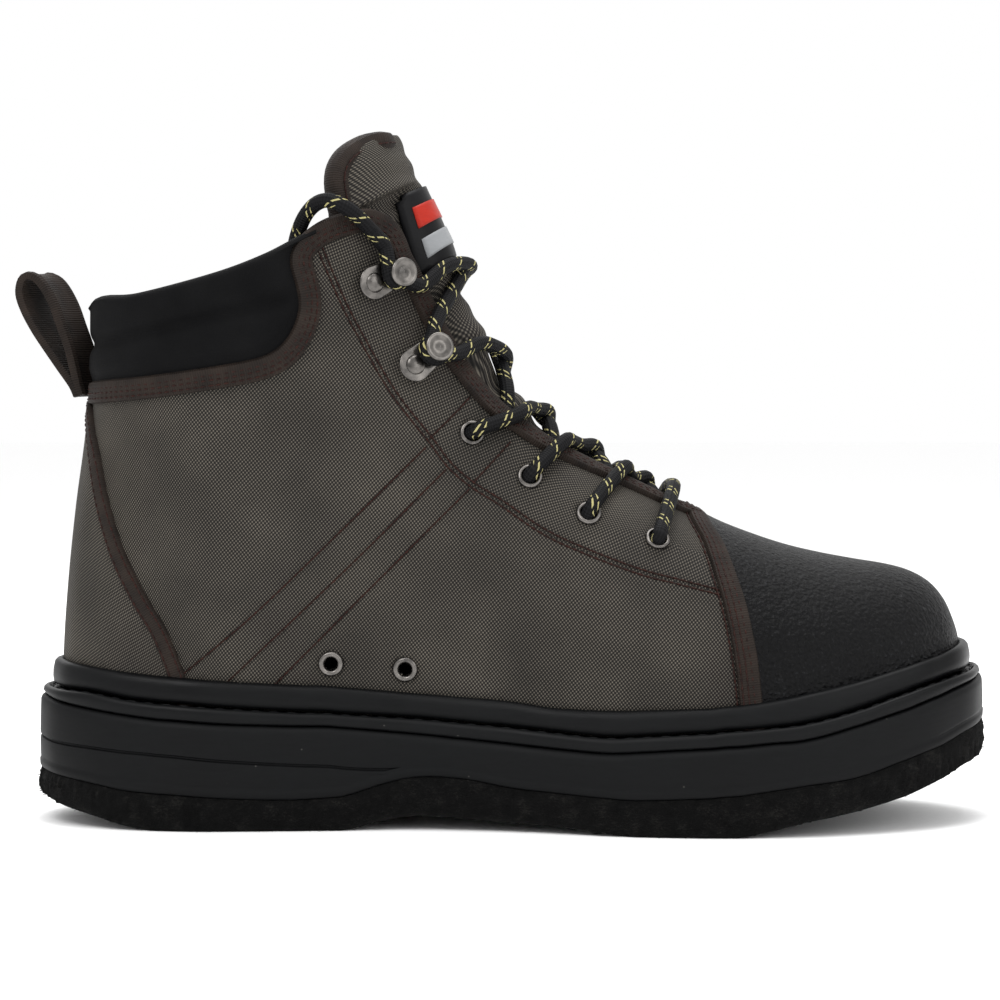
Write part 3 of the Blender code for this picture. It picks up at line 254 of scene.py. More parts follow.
# The gaiter ring's tab starts and ends at these ribs, and the ring reaches the last one.
GAITER_RIBS = (13.96, 13.82, 13.34)

# Where the lace passes over the throat's edge, as ribs, from the first eyelet to the last hook.
# Columns: to the crossing below, to the crossing above.
LACE_RIBS = [(12.45, 12.45), (13.7, 13.7), (15.1, 15.1), (16.4, 16.4), (19.0, 20.7),
             (22.9, 25.5)]

# Tongue. Columns: rib, half-width as a share of HALF_BALL, how far its middle stands out of the
# throat as a share of TONGUE_THICKNESS.
TONGUE = [
    (11.2, 0.17, 0.00), (12.0, 0.26, 0.00), (13.0, 0.34, 0.05), (14.4, 0.42, 0.25),
    (15.0, 0.44, 0.45), (15.75, 0.47, 0.40), (16.5, 0.50, 0.95), (17.3, 0.52, 0.65),
    (18.7, 0.55, 1.35), (20.3, 0.58, 0.90), (22.8, 0.59, 1.25), (25.5, 0.60, 1.10),
    (28.6, 0.61, 0.85), (29.8, 0.63, 0.76), (30.7, 0.62, 0.70), (31.1, 0.54, 0.65),
    (31.3, 0.40, 0.60),
]

# Ribs of the patch's lower and upper edge.
PATCH_RIBS = (22.8, 28.6)

# The rib past which the tongue stands free of the collar.
TONGUE_FREE = 29.0

# Throat opening. Columns: rib, half of the gap as a share of THROAT_HALF_GAP.
THROAT = [
    (11.86, 0.40), (12.00, 0.58), (12.30, 0.68), (12.80, 0.75), (13.60, 0.78), (15.00, 0.84),
    (17.00, 0.92), (20.00, 1.00), (25.00, 1.05), (28.00, 1.05), (32.00, 1.05),
]


# Middle line of the lace's free end, from the top hook over the collar into the boot, in metres
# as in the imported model.
LACE_END = [
    (0.0524, -0.0323, 0.1935), (0.0476, -0.0358, 0.1992), (0.0430, -0.0394, 0.2038),
    (0.0385, -0.0416, 0.2068), (0.0340, -0.0408, 0.2084), (0.0298, -0.0380, 0.2072),
    (0.0262, -0.0352, 0.2034), (0.0236, -0.0332, 0.1975), (0.0220, -0.0322, 0.1900),
    (0.0212, -0.0316, 0.1820),
]


def blend(a, b, share):
    """Value part of the way from a to b."""
    return a + (b - a) * share


def smooth(share):
    """Share from 0 to 1, eased at both ends."""
    share = max(0.0, min(1.0, share))
    return share * share * (3 - 2 * share)


def spline(before, a, b, after, share):
    """Catmull-Rom value between a and b."""
    square, cube = share * share, share ** 3
    return 0.5 * (2 * a + (b - before) * share
                  + (2 * before - 5 * a + 4 * b - after) * square
                  + (3 * a - before - 3 * b + after) * cube)


def row_at(table, place):
    """Smooth reading of every column at a fractional row."""
    index = max(0, min(int(place), len(table) - 2))
    rows = [table[max(0, min(len(table) - 1, index + step))] for step in (-1, 0, 1, 2)]
    return [spline(*column, place - index) for column in zip(*rows)]


def table_at(table, key, column, even=False):
    """Reading of a table's column at a key in its first column, smooth unless even is set."""
    if key <= table[0][0]:
        return table[0][column]
    if key > table[-1][0]:
        return table[-1][column]
    index = bisect_left(table, key, key=itemgetter(0)) - 1
    low, high = table[index], table[index + 1]
    share = (key - low[0]) / (high[0] - low[0])
    if even:
        return blend(low[column], high[column], share)
    before, after = table[max(0, index - 1)], table[min(len(table) - 1, index + 2)]
    value = spline(before[column], low[column], high[column], after[column], share)
    least = min(low[column], high[column])
    most = max(low[column], high[column])
    slack = 0.06 * (most - least)
    return max(least - slack, min(most + slack, value))


def smooth_line(points, steps):
    """Points of a smooth open line through the given ones."""
    line = [Vector(row_at(points, index + step / steps))
            for index in range(len(points) - 1) for step in range(steps)]
    return line + [Vector(points[-1])]


def heading(path, index):
    """Direction of a path at one of its points, from the points on both sides of it."""
    return path[min(index + 1, len(path) - 1)] - path[max(index - 1, 0)]


def even_line(points, gap, steps=12):
    """A smooth line through the points, cut into equal pieces of about the given length."""
    line = smooth_line([tuple(point) for point in points], steps)
    run = [0.0]
    for a, b in zip(line, line[1:]):
        run.append(run[-1] + (b - a).length)
    count = max(2, round(run[-1] / gap))
    found, index = [], 0
    for step in range(count + 1):
        want = run[-1] * step / count
        while index < len(run) - 2 and run[index + 1] < want:
            index += 1
        span = run[index + 1] - run[index]
        found.append(line[index].lerp(line[index + 1], (want - run[index]) / span if span else 0))
    return found


def side_place(share_x, share_z):
    """Side-view place from shares of the upper's length and rise."""
    return (share_x * UPPER_LENGTH - HEEL_REACH + UPPER_INSET, SEAT_HEIGHT + share_z * UPPER_RISE)


def sole_x(share):
    """Place along X of a share of the sole's length."""
    return share * SOLE_LENGTH - HEEL_REACH


def plan_loop(inset, steps):
    """The sole's outline moved inwards by the inset: outer side to the toe, inner side back."""
    outer = [Vector((sole_x(row[0]), -row[1] * HALF_BALL)) for row in SOLE_PLAN]
    inner = [Vector((sole_x(row[0]), row[2] * HALF_BALL)) for row in SOLE_PLAN]
    rows = outer + inner[-2:0:-1]
    count = len(rows)
    loop = [spline(*[rows[(index + step) % count] for step in (-1, 0, 1, 2)], part / steps)
            for index in range(count) for part in range(steps)]
    moved = []
    for index, point in enumerate(loop):
        along = (loop[(index + 1) % len(loop)] - loop[index - 1]).normalized()
        moved.append(point + Vector((-along.y, along.x)) * inset)
    return moved


def plan_side(side, inset, steps):
    """One side of that outline, from the heel to the toe."""
    loop = plan_loop(inset, steps)
    half = len(loop) // 2
    if side == LATERAL:
        return loop[:half + 1]
    return [loop[0]] + loop[:half - 1:-1]


UPPER_PLAN = {side: sorted(tuple(point) for point in plan_side(side, UPPER_INSET, 8))
              for side in (LATERAL, MEDIAL)}
HEEL_BACK = UPPER_PLAN[LATERAL][0][0]
TOE_TIP = Vector(UPPER_PLAN[LATERAL][-1])
BACK_LINE = [(row[1], row[0]) for row in RIBS if row[6] == 1.0]


def line_z(x, layers, groove=False):
    """Height of the sole's side line at x: 0 underside, 1 felt, 2 midsole, 3 deck, 4 rand top."""
    share = (x + HEEL_REACH) / SOLE_LENGTH
    heights = (TOE_SPRING, FELT_THICKNESS, MIDSOLE_HEIGHT, WELT_THICKNESS, RAND_HEIGHT)
    height = sum(max(0.0, table_at(SOLE_LINE, share, 1 + layer)) * heights[layer]
                 for layer in range(layers + 1))
    if groove:
        height += table_at(SOLE_LINE, share, 6) * (line_z(x, 2) - line_z(x, 1))
    return height


def centre_y(x):
    """Middle line of the upper, which leans to the big toe at the front."""
    start = 0.45 * (TOE_TIP.x - HEEL_BACK) + HEEL_BACK
    return TOE_TIP.y * smooth((x - start) / (TOE_TIP.x - start))


def back_x(z):
    """The back line of the upper at a height."""
    share = table_at(BACK_LINE, (z - SEAT_HEIGHT) / UPPER_RISE, 1)
    return side_place(share, 0)[0]


def last_point(rib, across):
    """A point on the upper's outer face. across runs -1 outer foot, 0 ridge, 1 inner foot."""
    foot_x, foot_z, top_x, top_z, start, power, back = row_at(RIBS, rib)
    lower, rise = 0.4, 1 - abs(across)
    if rise < lower:
        even = start * rise / lower
        dense = start * (1 - math.cos(rise / lower * math.pi / 2))
        along, rounding = blend(even, dense, back), 1.0
    else:
        angle = (rise - lower) / (1 - lower) * math.pi / 2
        along = start + (1 - start) * math.sin(angle) ** (2 / power)
        rounding = max(0.0, math.cos(angle)) ** (2 / power)
    foot, top = side_place(foot_x, foot_z), side_place(top_x, top_z)
    x, z = blend(foot[0], top[0], along), blend(foot[1], top[1], along)
    side = LATERAL if across < 0 else MEDIAL
    lean = (back_x(z) - HEEL_BACK) * max(0.0, 1 - (x - back_x(z)) / (0.35 * UPPER_LENGTH))
    level = max(HEEL_BACK, min(TOE_TIP.x, x - lean))
    deck = line_z(x, 3)
    width = table_at(GIRTH, (z - deck) / UPPER_RISE, 1)
    middle = centre_y(x)
    edge = table_at(UPPER_PLAN[side], level, 1, even=True)
    return Vector((x, middle + (edge - middle) * width * rounding, z))


def put(data, count, rows, place):
    """A grid of cells whose vertices place moves, given their column and row."""
    bmesh.ops.create_grid(data, x_segments=count, y_segments=rows, size=1)
    for vert in data.verts:
        column = round((vert.co.x + 1) / 2 * count)
        vert.co = place(column, round((vert.co.y + 1) / 2 * rows))


def face_out(data):
    """Turn the faces of a shell over the upper away from its middle plane."""
    bmesh.ops.recalc_face_normals(data, faces=data.faces)
    if sum(face.normal.y * face.calc_center_median().y for face in data.faces) < 0:
        bmesh.ops.reverse_faces(data, faces=data.faces)


def form_tree():
    """The upper's outer face as a tree for rays and nearest points."""
    ribs, halves = 6 * (len(RIBS) - 1), 96
    data = bmesh.new()
    put(data, ribs, halves, lambda i, j: last_point(i / 6, j / halves * 2 - 1))
    bmesh.ops.remove_doubles(data, verts=data.verts, dist=0.00002)
    face_out(data)
    tree = BVHTree.FromBMesh(data)
    data.free()
    return tree


FORM = form_tree()


def skin(x, z, side):
    """Point and outward normal of the upper at a side-view place."""
    point, normal, _, _ = FORM.ray_cast(Vector((x, side * BALL_WIDTH, z)), Vector((0, -side, 0)))
    if point is None or abs(normal.y) < 0.12:
        point, normal, _, _ = FORM.find_nearest(Vector((x, 0.0 if point is None else point.y, z)))
    return point, normal


def ridge_side(rib, across):
    """Point and outward normal of the form at a distance across from the ridge."""
    side = 1 if across >= 0 else -1
    low, high = 0.0, 0.75
    for _ in range(22):
        middle = (low + high) / 2
        point = last_point(rib, side * middle)
        if abs(point.y - centre_y(point.x)) < abs(across):
            low = middle
        else:
            high = middle
    step = 0.02
    along = (last_point(min(rib + 5 * step, len(RIBS) - 1), side * low)
             - last_point(rib - 5 * step, side * low))
    over = last_point(rib, side * low + step) - last_point(rib, side * low - step)
    return last_point(rib, side * low), over.cross(along).normalized(), low


def throat_half(rib):
    """Half of the throat's gap at a rib."""
    return table_at(THROAT, rib, 1, even=True) * THROAT_HALF_GAP


def tongue_profile(rib):
    """Across the tongue from its middle: distance from the ridge and share of the swelling."""
    gap = throat_half(rib)
    half = table_at(TONGUE, rib, 1) * HALF_BALL
    if rib > TONGUE_FREE:
        return [(share * half, rise) for share, rise in zip((0, 0.2, 0.4, 0.6, 0.8, 1),
                                                            (1, 1, 0.95, 0.9, 0.7, 0.3))]
    edge = gap - 4 * CLEARANCE
    return [(0.0, 1.0), (0.40 * gap, 0.9), (0.72 * gap, 0.5), (edge, 0.0),
            ((edge + half) / 2, 0.0), (half, 0.0)]


def tongue_place(rib, across, lift=0.0):
    """A point over the tongue's outer face, at a distance across from the ridge."""
    swell = table_at(tongue_profile(rib), abs(across), 1)
    rise = swell * table_at(TONGUE, rib, 2) * TONGUE_THICKNESS
    point, normal, _ = ridge_side(rib, across)
    return point + normal * (rise + lift - max(UPPER_WALL, CUFF_INSIDE) - 2 * CLEARANCE)


def srgb(hex_code):
    """A linear colour from an sRGB hex value."""
    values = [int(hex_code[start:start + 2], 16) / 255 for start in (1, 3, 5)]
    return [v / 12.92 if v <= 0.04045 else ((v + 0.055) / 1.055) ** 2.4 for v in values]


# Finishes
def add(tree, kind, sockets=None, stops=(), to=None, **settings):
    """A node with its settings, sockets linked or set, and a ramp's stops in sRGB hex."""
    made = tree.nodes.new("ShaderNode" + kind)
    for key, value in settings.items():
        setattr(made, key, value)
    for key, value in (sockets or {}).items():
        if isinstance(value, bpy.types.Node):
            value = next(socket for socket in value.outputs if socket.enabled)
        if isinstance(value, bpy.types.NodeSocket):
            tree.links.new(value, made.inputs[key])
        else:
            made.inputs[key].default_value = value
    for index, (position, shade) in enumerate(stops):
        ramp = made.color_ramp.elements
        stop = ramp[index] if index < 2 else ramp.new(position)
        stop.position = position
        stop.color = (*(srgb(shade) if isinstance(shade, str) else shade), 1.0)
    if to is not None:
        tree.links.new(next(socket for socket in made.outputs if socket.enabled), to)
    return made


def finish(name, roughness, metallic=0.0, specular=0.5, sheen=0.0, coordinates="Object"):
    """A new material, its tree, its shader and the coordinates that its patterns read."""
    made = bpy.data.materials.new(name)
    made.use_nodes = True
    tree = made.node_tree
    shader = tree.nodes["Principled BSDF"]
    shader.inputs["Roughness"].default_value = roughness
    shader.inputs["Metallic"].default_value = metallic
    shader.inputs["Specular IOR Level"].default_value = specular
    shader.inputs["Sheen Weight"].default_value = sheen
    shader.inputs["Sheen Roughness"].default_value = 0.5
    place = add(tree, "TexCoord").outputs[coordinates]
    return made, tree, shader, place


def woven_nylon(name, turn):
    """Coarse nylon in plain weave, calendered and coated: rows of round thread crossings, each
    with a painted highlight on its crown and painted shade in the gaps between, and slow shifts of
    tone along the cloth."""
    colours = bpy.context.scene.boot_looks
    made, tree, shader, place = finish(name, 0.75, specular=0.2, coordinates="UV")
    rate = 2 * math.pi / colours.thread_pitch
    turned = add(tree, "Mapping", {"Vector": place, "Rotation": (0, 0, turn),
                                   "Scale": (rate, 0.86 * rate, rate)})
    parts = add(tree, "SeparateXYZ", {"Vector": turned})
    waves = [add(tree, "Math", {0: parts.outputs[axis]}, operation="SINE") for axis in (0, 1)]
    weave = add(tree, "Math", {0: waves[0], 1: waves[1]}, operation="MULTIPLY")
    yarn = add(tree, "TexNoise", {"Vector": turned, "Scale": 0.8, "Detail": 2.0})
    crown = add(tree, "Math", {0: weave, 1: 0.30, 2: 0.34}, operation="MULTIPLY_ADD")
    crown = add(tree, "Math", {0: yarn, 1: 0.24, 2: crown}, operation="MULTIPLY_ADD")
    tone = add(tree, "TexNoise", {"Vector": place, "Scale": 28.0, "Detail": 3.0})
    shade = add(tree, "Math", {0: tone, 1: 0.26, 2: crown}, operation="MULTIPLY_ADD")
    # The ramp paints the weave's light: painted shade in the gaps, the thread sides at mid tone and
    # a painted highlight on the crowns; the yarn noise and slow tone are the cloth's own.
    add(tree, "ValToRGB", {"Fac": shade},
        stops=[(0.42, colours.fabric_dark_tone_and_gap_shade), (0.66, colours.fabric_mid_tone_and_side_shade),
               (0.90, colours.fabric_light_tone_and_crown_highlight)], to=shader.inputs["Base Color"])
    add(tree, "Bump", {"Height": crown, "Distance": 0.0004, "Strength": 0.8},
        to=shader.inputs["Normal"])
    return made


def pebbled_coat():
    """Fabric with a rubber coat, embossed with fine pebbles about a millimetre wide, with small
    specks of painted highlight where the pebbles catch the light."""
    made, tree, shader, place = finish("pebbled_rubber_coated_fabric", 0.5, specular=0.11)
    grain = add(tree, "TexVoronoi", {"Vector": place, "Scale": 620.0, "Randomness": 1.0},
                feature="SMOOTH_F1")
    dots = add(tree, "TexNoise", {"Vector": place, "Scale": 1000.0, "Detail": 3.0})
    height = add(tree, "Math", {0: grain, 1: -0.9, 2: dots}, operation="MULTIPLY_ADD")
    tone = add(tree, "TexNoise", {"Vector": place, "Scale": 40.0, "Detail": 2.0})
    tone_and_painted_glints = add(tree, "Math", {0: tone, 1: 0.35, 2: dots}, operation="MULTIPLY_ADD")
    # The light end of this ramp paints glints on the pebbles: painted highlight over the coat's own
    # slow tone.
    add(tree, "ValToRGB", {"Fac": tone_and_painted_glints},
        stops=[(0.50, "#020203"), (0.80, "#070708"), (1.0, "#242528")],
        to=shader.inputs["Base Color"])
    add(tree, "MapRange", {"Value": dots, "To Min": 0.66, "To Max": 0.26},
        to=shader.inputs["Roughness"])
    add(tree, "Bump", {"Height": height, "Distance": 0.0007, "Strength": 1.0},
        to=shader.inputs["Normal"])
    return made


def moulded_rubber(name, dark, light, roughness):
    """Compression-moulded rubber, as it comes from the mould: satin, with fine flow marks,
    shallow scuffs and a little dust."""
    made, tree, shader, place = finish(name, roughness, specular=0.12)
    flow = add(tree, "Mapping", {"Vector": place, "Scale": (0.35, 0.6, 2.2)})
    marks = add(tree, "TexNoise", {"Vector": flow, "Scale": 420.0, "Detail": 4.0,
                                   "Roughness": 0.62})
    cloud = add(tree, "TexNoise", {"Vector": place, "Scale": 22.0, "Detail": 4.0})
    shade = add(tree, "Math", {0: marks, 1: 0.45, 2: cloud}, operation="MULTIPLY_ADD")
    base = add(tree, "ValToRGB", {"Fac": shade}, stops=[(0.45, dark), (0.95, light)])
    dust = add(tree, "TexVoronoi", {"Vector": place, "Scale": 140.0})
    speck = add(tree, "MapRange", {"Value": dust, "From Min": 0.020, "From Max": 0.050,
                                   "To Min": 0.30, "To Max": 0.0})
    add(tree, "Mix", {"Factor": speck, 6: base, 7: (*srgb("#6f6d68"), 1.0)},
        data_type="RGBA", to=shader.inputs["Base Color"])
    add(tree, "MapRange", {"Value": cloud, "From Min": 0.3, "From Max": 0.7,
                                   "To Min": roughness - 0.09, "To Max": roughness + 0.14},
        to=shader.inputs["Roughness"])
    add(tree, "Bump", {"Height": marks, "Distance": 0.00012, "Strength": 0.6},
        to=shader.inputs["Normal"])
    return made


def needled_felt():
    """Needled polypropylene felt: matt, tangled fibres, painted a little greyer where the fibre
    relief stands up: painted sheen.
    """
    made, tree, shader, place = finish("needled_felt_black", 0.98, specular=0.05, sheen=0.02)
    lay = add(tree, "Mapping", {"Vector": place, "Scale": (0.6, 0.6, 1.4)})
    fibres = add(tree, "TexNoise", {"Vector": lay, "Scale": 1500.0, "Detail": 5.0,
                                    "Roughness": 0.7, "Distortion": 1.2})
    clumps = add(tree, "TexNoise", {"Vector": place, "Scale": 180.0, "Detail": 3.0})
    shade = add(tree, "Math", {0: clumps, 1: 0.5, 2: fibres}, operation="MULTIPLY_ADD")
    # The ramp is lighter where the fibre relief is high: painted sheen, over the felt's own tone.
    add(tree, "ValToRGB", {"Fac": shade},
        stops=[(0.5, "#060606"), (0.8, "#0e0e0e"), (1.0, "#262523")],
        to=shader.inputs["Base Color"])
    add(tree, "Bump", {"Height": shade, "Distance": 0.0007, "Strength": 1.0},
        to=shader.inputs["Normal"])
    return made


def ribbed_tape():
    """Grosgrain tape: fine ribs of about 0.8 mm across its length, drawn coarser than the real
    0.5 mm so that they show."""
    colours = bpy.context.scene.boot_looks
    made, tree, shader, place = finish("grosgrain_tape_brown", 0.74, specular=0.2,
                                       coordinates="UV")
    parts = add(tree, "SeparateXYZ", {"Vector": place})
    turns = add(tree, "Math", {0: parts.outputs[0], 1: 2 * math.pi / 0.0008},
                operation="MULTIPLY")
    ribs = add(tree, "Math", {0: turns}, operation="SINE")
    tone = add(tree, "TexNoise", {"Vector": place, "Scale": 120.0, "Detail": 4.0})
    shade = add(tree, "Math", {0: ribs, 1: 0.10, 2: tone}, operation="MULTIPLY_ADD")
    # The rib wave paints the rib tops lighter and the grooves darker: painted highlight and painted
    # shade, over the tape's own tone.
    add(tree, "ValToRGB", {"Fac": shade},
        stops=[(0.2, colours.tape_dark_tone_and_groove_shade), (0.8, colours.tape_light_tone_and_rib_highlight)],
        to=shader.inputs["Base Color"])
    add(tree, "Bump", {"Height": ribs, "Distance": 0.00008, "Strength": 0.7},
        to=shader.inputs["Normal"])
    return made


def sewing_thread():
    """Bonded polyester thread, twisted: dark rust brown with a slight shine."""
    made, tree, shader, place = finish("bonded_polyester_thread", 0.6, specular=0.15)
    twist = add(tree, "TexNoise", {"Vector": place, "Scale": 900.0, "Detail": 2.0})
    add(tree, "ValToRGB", {"Fac": twist}, stops=[(0.3, "#150806"), (0.7, "#2e150f")],
        to=shader.inputs["Base Color"])
    add(tree, "Bump", {"Height": twist, "Distance": 0.0001, "Strength": 0.8},
        to=shader.inputs["Normal"])
    return made


def knit_neoprene():
    """Foam with a fine knit face: deep black and matt, with a faint knit and lint."""
    made, tree, shader, place = finish("knit_faced_neoprene", 0.86, specular=0.12)
    knit = add(tree, "TexVoronoi", {"Vector": place, "Scale": 1700.0, "Randomness": 0.35})
    cloud = add(tree, "TexNoise", {"Vector": place, "Scale": 60.0, "Detail": 3.0})
    base = add(tree, "ValToRGB", {"Fac": cloud}, stops=[(0.3, "#040405"), (0.7, "#0a0a0b")])
    lint = add(tree, "TexVoronoi", {"Vector": place, "Scale": 60.0})
    speck = add(tree, "MapRange", {"Value": lint, "From Min": 0.018, "From Max": 0.032,
                                   "To Min": 0.7, "To Max": 0.0})
    add(tree, "Mix", {"Factor": speck, 6: base, 7: (*srgb("#77756f"), 1.0)},
        data_type="RGBA", to=shader.inputs["Base Color"])
    add(tree, "Bump", {"Height": knit, "Distance": 0.00014, "Strength": 0.7},
        to=shader.inputs["Normal"])
    return made


def brushed_lining(name, dark, light):
    """Brushed polyester lining over foam: matt, soft and fuzzy."""
    made, tree, shader, place = finish(name, 0.95, specular=0.1, sheen=0.02)
    nap = add(tree, "TexNoise", {"Vector": place, "Scale": 900.0, "Detail": 4.0})
    add(tree, "ValToRGB", {"Fac": nap}, stops=[(0.3, dark), (0.75, light)],
        to=shader.inputs["Base Color"])
    add(tree, "Bump", {"Height": nap, "Distance": 0.0003, "Strength": 0.8},
        to=shader.inputs["Normal"])
    return made


def plated_steel():
    """Pressed steel, plated dark nickel and tumbled: satin, with faint smudges."""
    made, tree, shader, place = finish("gunmetal_plated_steel", 0.3, metallic=1.0)
    smudge = add(tree, "TexNoise", {"Vector": place, "Scale": 260.0, "Detail": 4.0})
    add(tree, "ValToRGB", {"Fac": smudge}, stops=[(0.3, "#4a4846"), (0.7, "#7e7a76")],
        to=shader.inputs["Base Color"])
    add(tree, "MapRange", {"Value": smudge, "To Min": 0.2, "To Max": 0.42},
        to=shader.inputs["Roughness"])
    add(tree, "Bump", {"Height": smudge, "Distance": 0.00003, "Strength": 0.4},
        to=shader.inputs["Normal"])
    return made


def braided_cord():
    """Round braided nylon cord: black strands in a herringbone, painted lighter on their crowns and
    darker between them as painted highlight and shade, with pale threads that show as groups of
    short slanted dashes."""
    colours = bpy.context.scene.boot_looks
    made, tree, shader, place = finish("braided_nylon_cord", 0.7, specular=0.15,
                                       coordinates="UV")
    parts = add(tree, "SeparateXYZ", {"Vector": place})
    along = add(tree, "Math", {0: parts.outputs[0], 1: 1 / 0.0018}, operation="MULTIPLY")
    crossed = []
    for way in (-6.0, 6.0):
        phase = add(tree, "Math", {0: parts.outputs[1], 1: way, 2: along},
                    operation="MULTIPLY_ADD")
        turn = add(tree, "Math", {0: phase, 1: 2 * math.pi}, operation="MULTIPLY")
        crossed.append(add(tree, "Math", {0: turn}, operation="SINE"))
    braid = add(tree, "Math", {0: crossed[0], 1: crossed[1]}, operation="MULTIPLY")
    level = add(tree, "Math", {0: braid, 1: 0.5, 2: 0.5}, operation="MULTIPLY_ADD")
    # The braid's relief paints the strand crowns lighter and the gaps darker: painted highlight and
    # painted shade; the pale flecks below are the cord's own threads.
    base = add(tree, "ValToRGB", {"Fac": level}, stops=[(0.1, "#020203"), (0.9, "#0f0f11")])
    fleck = None
    for rate, slant, width in ((1 / 0.0096, 1.0, 0.34), (1 / 0.0024, 6.0, 0.30),
                               (0.0, 6.0, 0.70)):
        step = add(tree, "Math", {0: parts.outputs[0], 1: rate, 2: 0.0},
                   operation="MULTIPLY_ADD")
        step = add(tree, "Math", {0: parts.outputs[1], 1: slant, 2: step},
                   operation="MULTIPLY_ADD")
        step = add(tree, "Math", {0: step, 1: 1.0}, operation="FLOORED_MODULO")
        step = add(tree, "Math", {0: step, 1: width}, operation="LESS_THAN")
        fleck = step if fleck is None else add(tree, "Math", {0: fleck, 1: step},
                                               operation="MULTIPLY")
    add(tree, "Mix", {"Factor": fleck, 6: base, 7: (*colours.lace_fleck, 1.0)},
        data_type="RGBA", to=shader.inputs["Base Color"])
    add(tree, "Bump", {"Height": braid, "Distance": 0.00016, "Strength": 0.7},
        to=shader.inputs["Normal"])
    return made


def matt_paper():
    """Seamless photographer's paper: pale and matt, with the faintest grain."""
    made, tree, shader, place = finish("seamless_paper_white", 0.95, specular=0.1)
    grain = add(tree, "TexNoise", {"Vector": place, "Scale": 300.0})
    add(tree, "ValToRGB", {"Fac": grain}, stops=[(0.3, "#fbfbfb"), (0.7, "#ffffff")],
        to=shader.inputs["Base Color"])
    return made


FINISHES = {
    "fabric": lambda: woven_nylon("woven_nylon_coated", 0.10),
    "fabric_eyestay": lambda: woven_nylon("woven_nylon_coated_turned", 0.42),
    "coat": pebbled_coat,
    "midsole": lambda: moulded_rubber("moulded_midsole_rubber", "#050506", "#0d0e0f", 0.56),
    "rand": lambda: moulded_rubber("moulded_rand_rubber", "#050506", "#0e0f10", 0.42),
    "patch": lambda: moulded_rubber("moulded_patch_rubber", "#080809", "#101012", 0.42),
    "patch_red": lambda: moulded_rubber("moulded_patch_rubber_red", "#8f2218", "#a82a1d", 0.4),
    "patch_grey": lambda: moulded_rubber("moulded_patch_rubber_grey", "#7b7d7f", "#8d8f91", 0.4),
    "felt": needled_felt,
    "tape": ribbed_tape,
    "thread": sewing_thread,
    "neoprene": knit_neoprene,
    "lining": lambda: brushed_lining("brushed_polyester_lining", "#060607", "#101011"),
    "sock": lambda: brushed_lining("brushed_sock_cloth", "#101011", "#1b1b1c"),
    "metal": plated_steel,
    "cord": braided_cord,
    "paper": matt_paper,
}


def look(name):
    """The material of a finish, made once."""
    if name not in MADE:
        MADE[name] = FINISHES[name]()
    return MADE[name]


MADE = {}


# Sewn lines in side view: shares of the upper's length and rise
EYESTAY_SEAM = [(0.291, 0.929), (0.315, 0.823), (0.334, 0.753), (0.370, 0.637), (0.409, 0.545),
                (0.430, 0.493), (0.455, 0.453), (0.486, 0.417), (0.532, 0.360), (0.574, 0.324),
                (0.635, 0.282), (0.676, 0.262), (0.718, 0.242), (0.737, 0.234)]
QUARTER_A = [(0.406, 0.529), (0.313, 0.360), (0.215, 0.186), (0.118, 0.036)]
QUARTER_B = [(0.427, 0.483), (0.324, 0.292), (0.215, 0.100), (0.178, 0.036)]
QUARTER_C = [(0.452, 0.443), (0.346, 0.246), (0.240, 0.048), (0.228, 0.026)]
STAY_A = [(0.409, 0.545), (0.434, 0.591), (0.453, 0.629)]
STAY_B = [(0.458, 0.459), (0.480, 0.503), (0.497, 0.537)]
CUFF_SEAM = [(0.030, 0.735), (0.048, 0.737), (0.086, 0.751), (0.118, 0.765), (0.161, 0.783),
             (0.226, 0.811), (0.269, 0.829)]

# The pull loop's middle line in side view, in the same shares
LOOP_TAPE = [(0.0280, 0.6302), (0.0246, 0.6530), (0.0202, 0.6903), (0.0146, 0.7318),
             (0.0067, 0.7732), (-0.0011, 0.8147), (-0.0101, 0.8478), (-0.0190, 0.8686),
             (-0.0291, 0.8768), (-0.0358, 0.8665), (-0.0380, 0.8395), (-0.0324, 0.8064),
             (-0.0213, 0.7670), (-0.0067, 0.7255), (0.0078, 0.6862), (0.0202, 0.6530),
             (0.0257, 0.6302)]


# Building
def cells(data, count, rows, place, uv, slot=0):
    """A grid of cells: place gives a vertex its point and uv its pattern place, in metres."""
    layer = data.loops.layers.uv.verify()
    made = bmesh.ops.create_grid(data, x_segments=count, y_segments=rows, size=1)
    spots = {vert: (round((vert.co.x + 1) / 2 * count), round((vert.co.y + 1) / 2 * rows))
             for vert in made["verts"]}
    for vert, spot in spots.items():
        vert.co = place(*spot)
    for face in {face for vert in spots for face in vert.link_faces}:
        face.material_index = slot
        for loop in face.loops:
            loop[layer].uv = uv(*spots[loop.vert])
    return spots


def sweep(data, frames, section, slot=0, around=False, closed=True):
    """A section drawn along frames of a point and two axes. Its pattern runs along and around."""
    rows = len(section) if closed else len(section) - 1
    run, wide = [0.0], [0.0]
    for a, b in zip(frames, frames[1:]):
        run.append(run[-1] + (b[0] - a[0]).length)
    for row in range(rows):
        step = Vector(section[(row + 1) % len(section)]) - Vector(section[row])
        wide.append(wide[-1] + step.length)

    def place(column, row):
        point, across, up = frames[column]
        a, b = section[row % len(section)]
        return point + across * a + up * b

    spots = cells(data, len(frames) - 1, rows, place,
                  lambda i, j: (run[i], j / rows if around else wide[j]), slot)
    if closed:
        bmesh.ops.remove_doubles(data, verts=list(spots), dist=0.000001)
        ends = [edge for edge in data.edges if edge.is_boundary
                and all(vert in spots for vert in edge.verts)]
        for face in bmesh.ops.holes_fill(data, edges=ends, sides=0)["faces"]:
            face.material_index = slot


